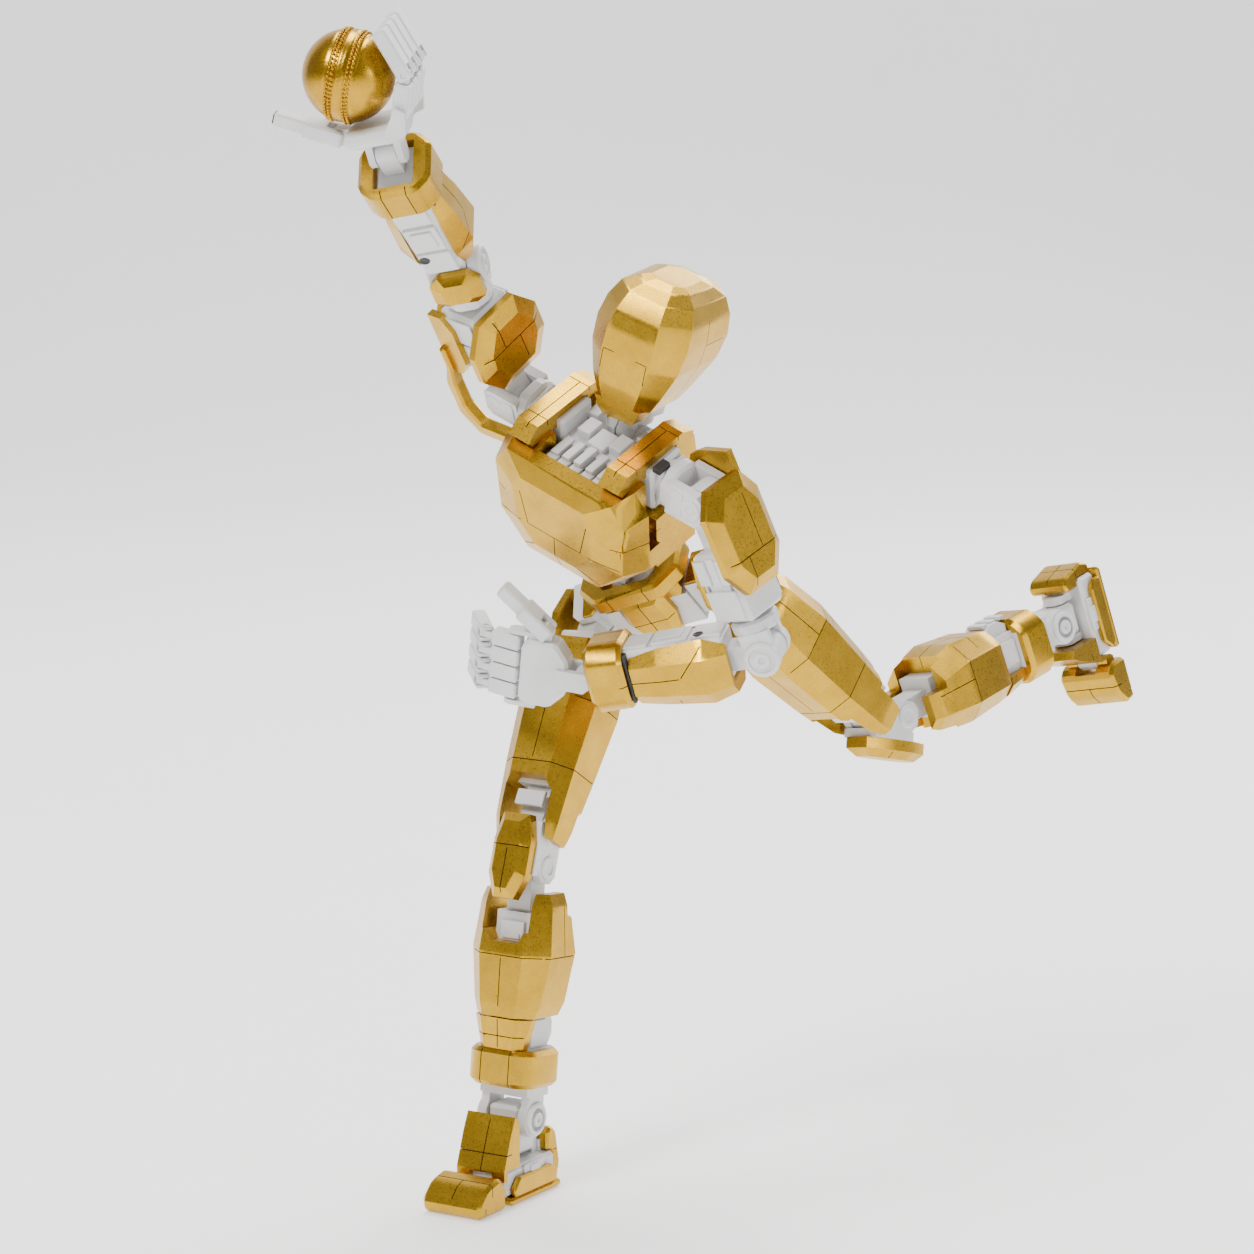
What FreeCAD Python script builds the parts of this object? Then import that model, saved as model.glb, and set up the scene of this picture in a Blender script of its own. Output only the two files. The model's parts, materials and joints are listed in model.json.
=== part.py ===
import FreeCAD, Part
import os

import Sketcher
from FreeCAD import Placement, Rotation, Vector

# Poseable walking humanoid in its bowling stride, ball held overhead.
# Figure axes in every local frame: +X is the figure's left, -Y its front, +Z its head end.
# The world origin is the centre of the standing foot's sole, under the ankle.

doc = FreeCAD.newDocument("humanoid")
sheet = doc.addObject("Spreadsheet::Sheet", "Dims")

LENGTHS = [
    ("ankle_high", 26.0), ("shin_long", 84.0), ("knee_gap", 11.0), ("thigh_long", 79.0),
    ("hip_half", 25.4), ("waist_up", 22.8), ("abdomen_long", 20.0), ("shoulder_up", 38.5),
    ("shoulder_half", 41.0), ("neck_up", 35.0), ("neck_back", 12.0), ("upper_arm_long", 54.0),
    ("forearm_long", 63.0), ("roll_drop", 9.0), ("toe_axis_fwd", 20.0), ("toe_axis_down", 20.5),
    ("pin_fit", 0.06), ("pin_rad", 2.0), ("small_pin_rad", 1.5), ("swivel_rad", 4.0),
    ("sole_half", 11.0), ("sole_thick", 2.5), ("sole_front", 16.5), ("sole_back", 14.0),
    ("foot_half", 9.0), ("foot_front", 17.0), ("foot_back", 13.0), ("foot_top", 14.0),
    ("toe_half", 11.5), ("toe_tip", 37.0), ("socket_rad", 2.0), ("socket_deep", 8.0),
    ("shin_wide", 31.0), ("shin_deep", 28.0), ("cuff_wide", 26.0), ("cuff_deep", 24.5),
    ("cuff_tall", 12.5), ("shin_core", 14.0), ("cap_wide", 14.4), ("cap_tall", 28.5),
    ("cap_thick", 6.6), ("thigh_wide", 30.0), ("thigh_deep", 29.0), ("thigh_core", 15.0),
    ("pelvis_half", 16.0), ("pelvis_deep", 16.0), ("chest_half", 30.0), ("chest_tall", 40.0),
    ("chest_front", 27.5), ("chest_back", 17.0), ("core_half", 13.0), ("core_deep", 20.0),
    ("head_half", 16.8), ("head_tall", 50.0), ("head_front", 21.0), ("head_back", 23.0),
    ("arm_core", 16.0), ("deltoid_tall", 37.0), ("deltoid_wide", 26.0), ("deltoid_thick", 5.5),
    ("forearm_wide", 24.0), ("forearm_core", 13.0), ("wrist_cuff", 23.5), ("wrist_cuff_tall", 13.0),
    ("palm_wide", 23.0), ("finger_wide", 5.2), ("finger_pitch", 5.8), ("finger_base", 11.0),
    ("finger_tip", 12.0), ("finger_pin", 0.9), ("ball_rad", 14.5), ("ball_out", 26.0), ("ball_side", 5.0),
    ("bevel", 1.2), ("skin", 2.4),
]

POSE = [
    ("foot_yaw", -31.3), ("ankle_roll_pose", 0.8), ("ankle_pitch_pose", -6.1), ("knee_pose", 23.5),
    ("hip_turn_pose", -7.0), ("hip_spread_pose", -16.5), ("hip_swing_pose", 75.6),
    ("waist_turn_pose", -33.3), ("waist_side_pose", 23.4), ("waist_bend_pose", -19.3),
    ("neck_bend_pose", -25.0), ("head_turn_pose", 8.0),
    ("arm_r_swing", 9.1), ("arm_r_raise", 167.5), ("arm_r_turn", -36.7), ("elbow_r_pose", -14.5),
    ("arm_l_swing", -7.7), ("arm_l_raise", -33.2), ("arm_l_turn", -60.8), ("elbow_l_pose", -97.4),
    ("wrist_l_pose", -20.0), ("wrist_r_pose", 35.0),
    ("leg_l_swing", -0.6), ("leg_l_spread", -8.6), ("leg_l_turn", -19.3), ("knee_l_pose", 56.2),
    ("ankle_l_pitch", -2.1), ("ankle_l_roll", 9.0),
]


class Size:
    """A sheet value together with the expression that names it."""

    def __init__(self, value, text):
        self.value = float(value)
        self.text = text

    def _pair(self, other):
        if isinstance(other, Size):
            return other.value, other.text
        return float(other), repr(float(other))

    def __add__(self, other):
        value, text = self._pair(other)
        return Size(self.value + value, "(%s + %s)" % (self.text, text))

    def __radd__(self, other):
        return self + other

    def __sub__(self, other):
        value, text = self._pair(other)
        return Size(self.value - value, "(%s - %s)" % (self.text, text))

    def __rsub__(self, other):
        return (-self) + other

    def __mul__(self, other):
        value, text = self._pair(other)
        return Size(self.value * value, "(%s * %s)" % (self.text, text))

    def __rmul__(self, other):
        return self * other

    def __truediv__(self, other):
        value, text = self._pair(other)
        return Size(self.value / value, "(%s / %s)" % (self.text, text))

    def __neg__(self):
        return Size(-self.value, "(-1 * %s)" % self.text)


class Table:
    """Sheet values by name."""


k = Table()
for row, (name, value) in enumerate(LENGTHS + POSE, start=1):
    sheet.set("A%d" % row, name)
    sheet.set("B%d" % row, repr(value))
    sheet.setAlias("B%d" % row, name)
    setattr(k, name, Size(value, "Dims." + name))
doc.recompute()


# ---------------------------------------------------------------- building blocks

def num(size):
    return size.value if isinstance(size, Size) else float(size)


def bind(thing, prop, size):
    if isinstance(size, Size):
        thing.setExpression(prop, size.text)
    else:
        thing.setExpression(prop, repr(float(size)))


def ordered(low, high):
    return (low, high) if num(low) <= num(high) else (high, low)


def centre_at(thing, x, y, z):
    bind(thing, "Placement.Base.x", x)
    bind(thing, "Placement.Base.y", y)
    bind(thing, "Placement.Base.z", z)


def box(x, y, z):
    """Plain block between pairs of limits."""
    thing = doc.addObject("Part::Box", "block")
    x, y, z = ordered(*x), ordered(*y), ordered(*z)
    bind(thing, "Length", x[1] - x[0])
    bind(thing, "Width", y[1] - y[0])
    bind(thing, "Height", z[1] - z[0])
    centre_at(thing, x[0], y[0], z[0])
    return thing


def rod(axis, radius, along, across):
    """Cylinder along X, Y or Z; across holds the other two centre coordinates."""
    thing = doc.addObject("Part::Cylinder", "rod")
    low, high = ordered(*along)
    bind(thing, "Radius", radius)
    bind(thing, "Height", high - low)
    if axis == "x":
        thing.Placement = Placement(Vector(), Rotation(Vector(0, 1, 0), 90))
        centre_at(thing, low, across[0], across[1])
    elif axis == "y":
        thing.Placement = Placement(Vector(), Rotation(Vector(1, 0, 0), -90))
        centre_at(thing, across[0], low, across[1])
    else:
        centre_at(thing, across[0], across[1], low)
    return thing


def origin_plane(body, role):
    for feature in body.Origin.OriginFeatures:
        if feature.Role == role:
            return feature
    raise ValueError(role)


def sketch_on(body, plane, offset, points):
    """Closed outline whose corner positions are bound to the sheet."""
    sketch = body.newObject("Sketcher::SketchObject", "outline")
    sketch.AttachmentSupport = [(origin_plane(body, plane), "")]
    sketch.MapMode = "FlatFace"
    bind(sketch, "AttachmentOffset.Base.z", offset)
    corners = [Vector(num(a), num(b), 0) for a, b in points]
    count = len(corners)
    for i in range(count):
        sketch.addGeometry(Part.LineSegment(corners[i], corners[(i + 1) % count]), False)
    for i in range(count):
        sketch.addConstraint(Sketcher.Constraint("Coincident", i, 2, (i + 1) % count, 1))
    for i, (a, b) in enumerate(points):
        place = sketch.addConstraint(Sketcher.Constraint("DistanceX", -1, 1, i, 1, num(a)))
        if isinstance(a, Size):
            sketch.setExpression("Constraints[%d]" % place, a.text)
        place = sketch.addConstraint(Sketcher.Constraint("DistanceY", -1, 1, i, 1, num(b)))
        if isinstance(b, Size):
            sketch.setExpression("Constraints[%d]" % place, b.text)
    return sketch


def is_hollow_edge(shape, edge):
    """True where two faces meet in an inside corner."""
    middle = edge.valueAt((edge.FirstParameter + edge.LastParameter) / 2)
    faces = [face for face in shape.Faces if any(edge.isSame(other) for other in face.Edges)]
    if len(faces) < 2:
        return True
    step = Vector()
    for face in faces:
        u, v = face.Surface.parameter(middle)
        step = step + face.normalAt(u, v)
    return shape.isInside(middle + step.normalize() * 0.02, 1e-4, True)


def bevel_all(body, feature, size):
    """Bevel every outside edge of a feature."""
    doc.recompute()
    names = ["Edge%d" % i for i, edge in enumerate(feature.Shape.Edges, start=1)
             if not is_hollow_edge(feature.Shape, edge)]
    edge = body.newObject("PartDesign::Chamfer", "bevel")
    edge.Base = (feature, names)
    bind(edge, "Size", size)
    body.Tip = edge
    doc.recompute()
    if "Invalid" in edge.State or edge.Shape.isNull() or not edge.Shape.isValid():
        body.Tip = feature
        body.removeObject(edge)
        doc.removeObject(edge.Name)
        doc.recompute()
    return body.Tip


PLANES = {"z": "XY_Plane", "y": "XZ_Plane", "x": "YZ_Plane"}


def prism(axis, along, points, bevel=None):
    """Outline padded along an axis. Points are (x, y), (x, z) or (y, z)."""
    body = doc.addObject("PartDesign::Body", "plate")
    low, high = ordered(*along)
    # the XZ plane's normal points to -Y, so its offset runs the other way
    start = -high if axis == "y" else low
    sketch = sketch_on(body, PLANES[axis], start, points)
    pad = body.newObject("PartDesign::Pad", "pad")
    pad.Profile = sketch
    bind(pad, "Length", high - low)
    body.Tip = pad
    if bevel is not None:
        bevel_all(body, pad, bevel)
    return body


def block(x, y, z, bevel=None):
    """Block with every edge bevelled."""
    x, y = ordered(*x), ordered(*y)
    points = [(x[0], y[0]), (x[1], y[0]), (x[1], y[1]), (x[0], y[1])]
    return prism("z", z, points, k.bevel if bevel is None else bevel)


def loft(axis, sections):
    """Flat-sided body through outlines at stated offsets along the axis."""
    body = doc.addObject("PartDesign::Body", "shell")
    sketches = []
    for offset, points in sections:
        start = -offset if axis == "y" else offset
        sketches.append(sketch_on(body, PLANES[axis], start, points))
    skin = body.newObject("PartDesign::AdditiveLoft", "faces")
    skin.Profile = sketches[0]
    skin.Sections = sketches[1:]
    skin.Ruled = True
    body.Tip = skin
    return body


def octagon(half, front, back, corner=0.45):
    """Eight-sided limb section; front and back are distances from the axis."""
    cut = half * corner
    return [
        (-half, -front + cut), (-half + cut, -front), (half - cut, -front), (half, -front + cut),
        (half, back - cut), (half - cut, back), (-half + cut, back), (-half, back - cut),
    ]


def fuse(*parts):
    thing = doc.addObject("Part::MultiFuse", "joined")
    thing.Shapes = list(parts)
    thing.Refine = True
    return thing


def cut(base, *tools):
    thing = doc.addObject("Part::Cut", "cut")
    thing.Base = base
    thing.Tool = tools[0] if len(tools) == 1 else fuse(*tools)
    thing.Refine = True
    return thing


def group(*parts):
    thing = doc.addObject("Part::Compound", "set")
    thing.Links = list(parts)
    return thing


FINISHED = []


def finish(thing, label, frame):
    """Name a sub-part and stand it in the figure's frame."""
    thing.Label = label
    thing.Placement = frame
    FINISHED.append(thing)


# ---------------------------------------------------------------- skeleton

def move(x, y, z):
    return Placement(Vector(num(x), num(y), num(z)), Rotation())


def spin(axis, angle):
    axes = {"x": Vector(1, 0, 0), "y": Vector(0, 1, 0), "z": Vector(0, 0, 1)}
    return Placement(Vector(), Rotation(axes[axis], num(angle)))


F = {}
F["foot_r"] = move(0, 0, k.ankle_high) * spin("z", k.foot_yaw)
F["ankle_r"] = F["foot_r"] * move(0, 0, -k.roll_drop) * spin("y", k.ankle_roll_pose) * move(0, 0, k.roll_drop)
shin_turn = F["ankle_r"] * spin("x", k.ankle_pitch_pose)
F["shin_r"] = shin_turn * move(0, 0, k.shin_long)
F["knee_r"] = F["shin_r"] * spin("x", k.knee_pose / -2)
F["thigh_r"] = F["knee_r"] * move(0, 0, k.knee_gap) * spin("x", k.knee_pose / -2)
F["thigh_r"] = F["thigh_r"] * move(0, 0, k.thigh_long)
F["yoke_r"] = F["thigh_r"] * spin("z", k.hip_turn_pose)
F["hip_r"] = F["yoke_r"] * spin("y", k.hip_spread_pose)
F["pelvis"] = F["hip_r"] * spin("x", k.hip_swing_pose) * move(k.hip_half, 0, 0)
F["ring"] = F["pelvis"] * move(0, 0, k.waist_up) * spin("z", k.waist_turn_pose)
F["abdomen"] = F["ring"] * spin("y", k.waist_side_pose)
F["chest"] = F["abdomen"] * move(0, 0, k.abdomen_long) * spin("x", k.waist_bend_pose)
F["neck"] = F["chest"] * move(0, k.neck_back, k.neck_up) * spin("x", k.neck_bend_pose)
F["head"] = F["neck"] * spin("z", k.head_turn_pose)


def arm_frames(side, tag, swing, raise_, turn, elbow, wrist):
    F["shoulder_" + tag] = F["chest"] * move(side * k.shoulder_half, 0, k.shoulder_up) * spin("x", swing)
    F["upper_" + tag] = F["shoulder_" + tag] * spin("y", raise_)
    F["elbow_" + tag] = F["upper_" + tag] * move(0, 0, -k.upper_arm_long) * spin("z", turn)
    F["fore_" + tag] = F["elbow_" + tag] * spin("x", elbow)
    F["hand_" + tag] = F["fore_" + tag] * move(0, 0, -k.forearm_long) * spin("x", wrist)


arm_frames(-1, "r", k.arm_r_swing, k.arm_r_raise, k.arm_r_turn, k.elbow_r_pose, k.wrist_r_pose)
arm_frames(1, "l", k.arm_l_swing, k.arm_l_raise, k.arm_l_turn, k.elbow_l_pose, k.wrist_l_pose)
F["hip_l"] = F["pelvis"] * move(k.hip_half, 0, 0) * spin("x", k.leg_l_swing)
F["yoke_l"] = F["hip_l"] * spin("y", k.leg_l_spread)
F["thigh_l"] = F["yoke_l"] * spin("z", k.leg_l_turn)
F["knee_l"] = F["thigh_l"] * move(0, 0, -k.thigh_long) * spin("x", k.knee_l_pose / 2) * move(0, 0, -k.knee_gap)
F["shin_l"] = F["knee_l"] * spin("x", k.knee_l_pose / 2)
F["ankle_l"] = F["shin_l"] * move(0, 0, -k.shin_long) * spin("x", k.ankle_l_pitch)
F["foot_l"] = F["ankle_l"] * move(0, 0, -k.roll_drop) * spin("y", k.ankle_l_roll) * move(0, 0, k.roll_drop)


# ---------------------------------------------------------------- legs

def foot_frame(tag):
    """Midfoot block, fore and aft roll ears with their pin, and the toe knuckle."""
    base = block((-k.foot_half, k.foot_half), (-k.foot_front, k.foot_back), (-23.5, -k.foot_top))
    front = prism("y", (-9, -6.3), [(-4, -15), (4, -15), (4, -7), (2, -5), (-2, -5), (-4, -7)])
    rear = prism("y", (6.3, 9), [(-4, -15), (4, -15), (4, -7), (2, -5), (-2, -5), (-4, -7)])
    pin = rod("y", k.small_pin_rad, (-9, 9), (0, -9))
    axis = -k.toe_axis_fwd
    lug = prism("x", (-4, 4), [(-16.5, -23), (axis - 1, -23), (axis - 2.7, -21.5), (axis - 2.7, -19.5),
                               (axis - 1, -18), (-16.5, -17.7)])
    whole = fuse(base, front, rear, pin, lug)
    toe_bore = rod("x", 1.4 + k.pin_fit, (-5, 5), (-k.toe_axis_fwd, -k.toe_axis_down))
    socket = rod("z", k.socket_rad, (-k.ankle_high, -k.ankle_high + k.socket_deep), (0, 0))
    finish(cut(whole, toe_bore, socket), "foot_frame_" + tag, F["foot_" + tag])


def foot_plates(tag):
    """Sole, instep guard, heel cup and the two side rails."""
    sole = block((-k.sole_half, k.sole_half), (-k.sole_front, k.sole_back),
                 (-k.ankle_high, -k.ankle_high + k.sole_thick), 0.8)
    sole = cut(sole, rod("z", k.socket_rad, (-k.ankle_high - 1, -23), (0, 0)))
    instep = prism("x", (-9.4, 9.4), [(-9.4, 1), (-12, 3), (-14.8, -3), (-18.8, -14), (-18.8, -17.6),
                                      (-17, -17.6), (-17, -14), (-9.4, -14)], 0.9)
    notch = box((-4.4, 4.4), (-20, -17), (-20, -15))
    instep = cut(instep, notch)
    heel = prism("x", (-8, 8), [(13, -23.5), (16.5, -23.5), (18, -19), (15.5, -7.5), (12.5, -5.5),
                                (10, -7), (10, -14), (13, -14)], 0.9)
    rails = [prism("x", (s * 9, s * 11.4), [(-14, -23.5), (-15.5, -21), (-12, -17), (8, -17), (11, -20),
                                            (11, -23.5)], 0.6) for s in (-1, 1)]
    finish(group(sole, instep, heel, *rails), "foot_plates_" + tag, F["foot_" + tag])


def toe_cap(tag):
    """Hinged toe with a slot for the foot's knuckle and its own pin."""
    profile = [(-20.4, -25.9), (-20.4, -17.4), (-24, -14.2), (-32, -16), (-k.toe_tip, -20.8),
               (-k.toe_tip + 0.8, -25.9)]
    cap = prism("x", (-k.toe_half, k.toe_half), profile, 1.3)
    slot = box((-4.4, 4.4), (-23.4, -20), (-27, -11))
    pin = rod("x", 1.4, (-5, 5), (-k.toe_axis_fwd, -k.toe_axis_down))
    ears = [prism("x", (s * 4.4, s * 8.5), [(-21.5, -23), (-19, -23), (-18, -21.5), (-18, -19.5), (-19, -18),
                                            (-21.5, -18)]) for s in (-1, 1)]
    finish(fuse(cut(cap, slot), pin, *ears), "toe_cap_" + tag, F["foot_" + tag])


def ankle_block(tag):
    """Cross-pin block: pitch bore above, roll bore below."""
    core = block((-5.7, 5.7), (-5.7, 5.7), (-12.2, 4.5))
    pitch = rod("x", k.small_pin_rad + k.pin_fit, (-7, 7), (0, 0))
    roll = rod("y", k.small_pin_rad + k.pin_fit, (-7, 7), (0, -9))
    finish(cut(core, pitch, roll), "ankle_block_" + tag, F["ankle_" + tag])


def shin_frame(tag):
    """Inner shin column, knee knuckle above and ankle fork below."""
    low = -k.shin_long
    column = box((-7, 7), (-6, 8), (-60.5, -15))
    knuckle = rod("x", 5.0, (-4.5, 4.5), (0, 0))
    neck = box((-4.5, 4.5), (-4.2, 4.2), (-16, 0))
    bridge = box((-9.3, 9.3), (-6, 7), (low + 7.5, low + 23.5))
    ears = []
    for s in (-1, 1):
        ears.append(box((s * 6.3, s * 9.3), (-4.6, 4.6), (low, low + 9)))
        ears.append(rod("x", 6.3, (s * 6.3, s * 9.3), (0, low)))
        ears.append(rod("x", 4.4, (s * 9.3, s * 9.9), (0, low)))
    pin = rod("x", k.small_pin_rad, (-9, 9), (0, low))
    calf = prism("x", (-5.5, 5.5), [(8, -60), (11, -60), (12.8, -57), (12.8, -53), (11, -49.6), (8, -49.6)])
    whole = fuse(column, knuckle, neck, bridge, pin, calf, *ears)
    bore = rod("x", k.pin_rad + k.pin_fit, (-6, 6), (0, 0))
    finish(cut(whole, bore), "shin_frame_" + tag, F["shin_" + tag])


def shin_plates(tag):
    """Upper shell with knee prongs, lower front plate and ankle cuff."""
    half = k.shin_wide / 2
    upper = loft("z", [
        (-49.5, octagon(half * 0.72, 13, 12)), (-45, octagon(half * 0.84, 13.2, 13.5)),
        (-28, octagon(half, 13.5, 15.5)), (-12, octagon(half * 0.9, 11.5, 12)), (-8, octagon(half * 0.8, 10.5, 10))])
    core = box((-7, 7), (-6, 8), (-60, -15))
    knee_room = box((-9, 9), (-30, 30), (-21, 0))
    window = prism("y", (-30, -6), [(-8.2, 1), (-8.2, -20), (-6, -24.5), (6, -24.5), (8.2, -20), (8.2, 1)])
    rear = box((-20, 20), (4, 30), (-16, 0))
    upper = cut(upper, core, knee_room, window, rear)
    lower = loft("z", [
        (-60.4, [(-8.2, -6), (-8.2, -9), (-5.4, -11.6), (5.4, -11.6), (8.2, -9), (8.2, -6)]),
        (-50, [(-11, -6), (-11, -9), (-6.6, -13), (6.6, -13), (11, -9), (11, -6)])])
    top = -k.shin_long + 11
    hoop = prism("z", (top, top + k.cuff_tall), octagon(k.cuff_wide / 2, k.cuff_deep / 2 + 0.5,
                                                        k.cuff_deep / 2 - 0.5, 0.38), 1.5)
    hoop = cut(hoop, box((-9.3, 9.3), (-6, 7), (-90, -40)))
    finish(group(upper, lower, hoop), "shin_plates_" + tag, F["shin_" + tag])


def knee_core(tag):
    """Two cheeks, front bridge and the pair of knee pins."""
    top = k.knee_gap
    cheek = [(-5.2, -2.6), (-2.6, -5.2), (2.6, -5.2), (5.2, -2.6), (5.2, top + 2.6), (2.6, top + 5.2),
             (-2.6, top + 5.2), (-5.2, top + 2.6)]
    cheeks = [prism("x", (s * 4.9, s * 7.8), cheek) for s in (-1, 1)]
    bridge = box((-7.8, 7.8), (-8.4, -5.3), (-3.5, 14.5))
    ties = [box((s * 4.9, s * 7.8), (-6, -4), (-1, 12)) for s in (-1, 1)]
    pins = [rod("x", k.pin_rad, (-7, 7), (0, z)) for z in (0, top)]
    finish(fuse(bridge, *(cheeks + ties + pins)), "knee_core_" + tag, F["knee_" + tag])


def kneecap(tag):
    """Faceted shield on the knee bridge."""
    half = k.cap_wide / 2
    low, high = -12.5, -12.5 + k.cap_tall
    back = [(-half * 0.55, low), (half * 0.55, low), (half, low + 8), (half, high - 9), (half * 0.7, high),
            (-half * 0.7, high), (-half, high - 9), (-half, low + 8)]
    face = [(-half * 0.3, low + 3), (half * 0.3, low + 3), (half * 0.62, low + 9), (half * 0.62, high - 9.5),
            (half * 0.4, high - 3), (-half * 0.4, high - 3), (-half * 0.62, high - 9.5), (-half * 0.62, low + 9)]
    plate = loft("y", [(-8.4, back), (-12.2, back), (-8.4 - k.cap_thick, face)])
    finish(plate, "kneecap_" + tag, F["knee_" + tag])


def thigh_frame(tag):
    """Thigh column with the twist socket above and the knee knuckle below."""
    low = -k.thigh_long
    half = k.thigh_core / 2
    column = box((-half, half), (-7, 8), (-64, -12))
    neck = box((-4.5, 4.5), (-4.2, 4.2), (low, -63))
    knuckle = rod("x", 5.0, (-4.5, 4.5), (0, low))
    whole = fuse(column, neck, knuckle)
    twist = rod("z", k.swivel_rad + k.pin_fit, (-24, -11), (0, 0))
    bore = rod("x", k.pin_rad + k.pin_fit, (-6, 6), (0, low))
    finish(cut(whole, twist, bore), "thigh_frame_" + tag, F["thigh_" + tag])


def thigh_shell(tag):
    """Faceted thigh armour, open at the front over the kneecap."""
    half = k.thigh_wide / 2
    low = -k.thigh_long
    outer = loft("z", [
        (low - 3, octagon(half * 0.74, 10, 8)), (low + 3, octagon(half * 0.82, 12, 10)),
        (-58, octagon(half * 0.9, 14, 12)), (-34, octagon(half, 15.5, 14)), (-16, octagon(half * 0.9, 13.5, 13)),
        (-12.5, octagon(half * 0.8, 12, 12))])
    core = box((-k.thigh_core / 2, k.thigh_core / 2), (-7, 8), (-70, 0))
    knee_room = box((-9, 9), (-30, 30), (low - 10, -66))
    window = prism("y", (-30, -7), [(-8.3, -66), (-6.5, -62.5), (6.5, -62.5), (8.3, -66), (8.3, low - 9),
                                    (-8.3, low - 9)])
    rear = box((-20, 20), (3.5, 30), (low - 10, low + 10))
    finish(cut(outer, core, knee_room, window, rear), "thigh_shell_" + tag, F["thigh_" + tag])


def hip_yoke(tag):
    """Twist pin into the thigh and the knuckle of the spread hinge."""
    pin = rod("z", k.swivel_rad, (-22, -9), (0, 0))
    plate = block((-7.5, 7.5), (-7.5, 7.5), (-11.9, -8.4), 0.8)
    neck = box((-3.5, 3.5), (-3.9, 3.9), (-9, 0))
    knuckle = rod("y", 5.0, (-3.9, 3.9), (0, 0))
    whole = fuse(pin, plate, neck, knuckle)
    finish(cut(whole, rod("y", k.pin_rad + k.pin_fit, (-5, 5), (0, 0))), "hip_yoke_" + tag, F["yoke_" + tag])


def hip_cap(side, tag):
    """Outer hip armour carried by the yoke."""
    outer = [(-10, -11.5), (-11.5, -4), (-8, 6), (-2, 9), (5, 8), (10, 2), (11, -5), (9, -11.5)]
    face = [(-6, -9.5), (-7, -4), (-5, 3), (-1, 5.5), (3, 5), (6, 1), (7, -4), (5.5, -9.5)]
    if side > 0:
        steps = [(7.5, outer), (10, outer), (13, face)]
    else:
        steps = [(-7.5, outer), (-10, outer), (-13, face)]
    room = box((side * 7, side * 9.8), (-7.8, 7.8), (3, 10))
    finish(cut(loft("x", steps), room), "hip_cap_" + tag, F["yoke_" + tag])


def hip_block(side, tag):
    """Fork of the spread hinge and the swing shaft into the pelvis."""
    inner = -side
    fork = [(-5, -2.5), (-3, -4.6), (3, -4.6), (5, -2.5), (5, 8.5), (-5, 8.5)]
    cheeks = [prism("y", (s * 4.3, s * 7.3), fork) for s in (-1, 1)]
    bridge = box((5 * side, 8.8 * inner), (-7.3, 7.3), (6, 9.5))
    wall = box((5.6 * inner, 8.8 * inner), (-7.3, 7.3), (-4.5, 9.5))
    ties = [box((4 * inner, 6.5 * inner), (s * 4.3, s * 7.3), (-2.4, 8)) for s in (-1, 1)]
    shaft = rod("x", k.swivel_rad, (8 * inner, 17 * inner), (0, 0))
    pin = rod("y", k.pin_rad, (-7, 7), (0, 0))
    finish(fuse(bridge, wall, shaft, pin, *(cheeks + ties)), "hip_block_" + tag, F["hip_" + tag])


def leg(side, tag):
    foot_frame(tag)
    foot_plates(tag)
    toe_cap(tag)
    ankle_block(tag)
    shin_frame(tag)
    shin_plates(tag)
    knee_core(tag)
    kneecap(tag)
    thigh_frame(tag)
    thigh_shell(tag)
    hip_yoke(tag)
    hip_cap(side, tag)
    hip_block(side, tag)


# ---------------------------------------------------------------- pelvis and waist

def pelvis():
    half = k.pelvis_half
    base = box((-half, half), (-8, 8), (-7, 7))
    top = box((-9, 9), (-8, 8), (6, 14))
    sockets = [rod("x", k.swivel_rad + k.pin_fit, (s * 7.5, s * 17), (0, 0)) for s in (-1, 1)]
    turn = rod("z", k.swivel_rad + k.pin_fit, (3.5, 15), (0, 0))
    finish(cut(fuse(base, top), turn, *sockets), "pelvis_frame", F["pelvis"])
    front = [(-9, 12.9), (9, 12.9), (9.5, 2), (6, -9), (2.5, -15), (-2.5, -15), (-6, -9), (-9.5, 2)]
    face = [(-6, 10), (6, 10), (6.5, 2), (4, -7), (1.5, -12), (-1.5, -12), (-4, -7), (-6.5, 2)]
    shield = loft("y", [(-8, front), (-10, front), (-12.5, face)])
    seat = loft("y", [(8, front), (10, front), (12, face)])
    keel = prism("y", (-8, 8), [(-6, -7), (-2.5, -13), (2.5, -13), (6, -7)])
    wings = [prism("y", (-8, 8), [(s * 9, 7), (s * 14, 7), (s * 16, 10), (s * 16, 13), (s * 9, 13)])
             for s in (-1, 1)]
    hoop = prism("z", (13, 20), octagon(Size(19.5, "19.5"), 14.5, 12.5, 0.38), 1.2)
    hoop = cut(hoop, prism("z", (12, 21), octagon(Size(10.8, "10.8"), 9.9, 9.9, 0.2)))
    finish(group(shield, seat, keel, hoop, *wings), "pelvis_plates", F["pelvis"])


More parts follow.
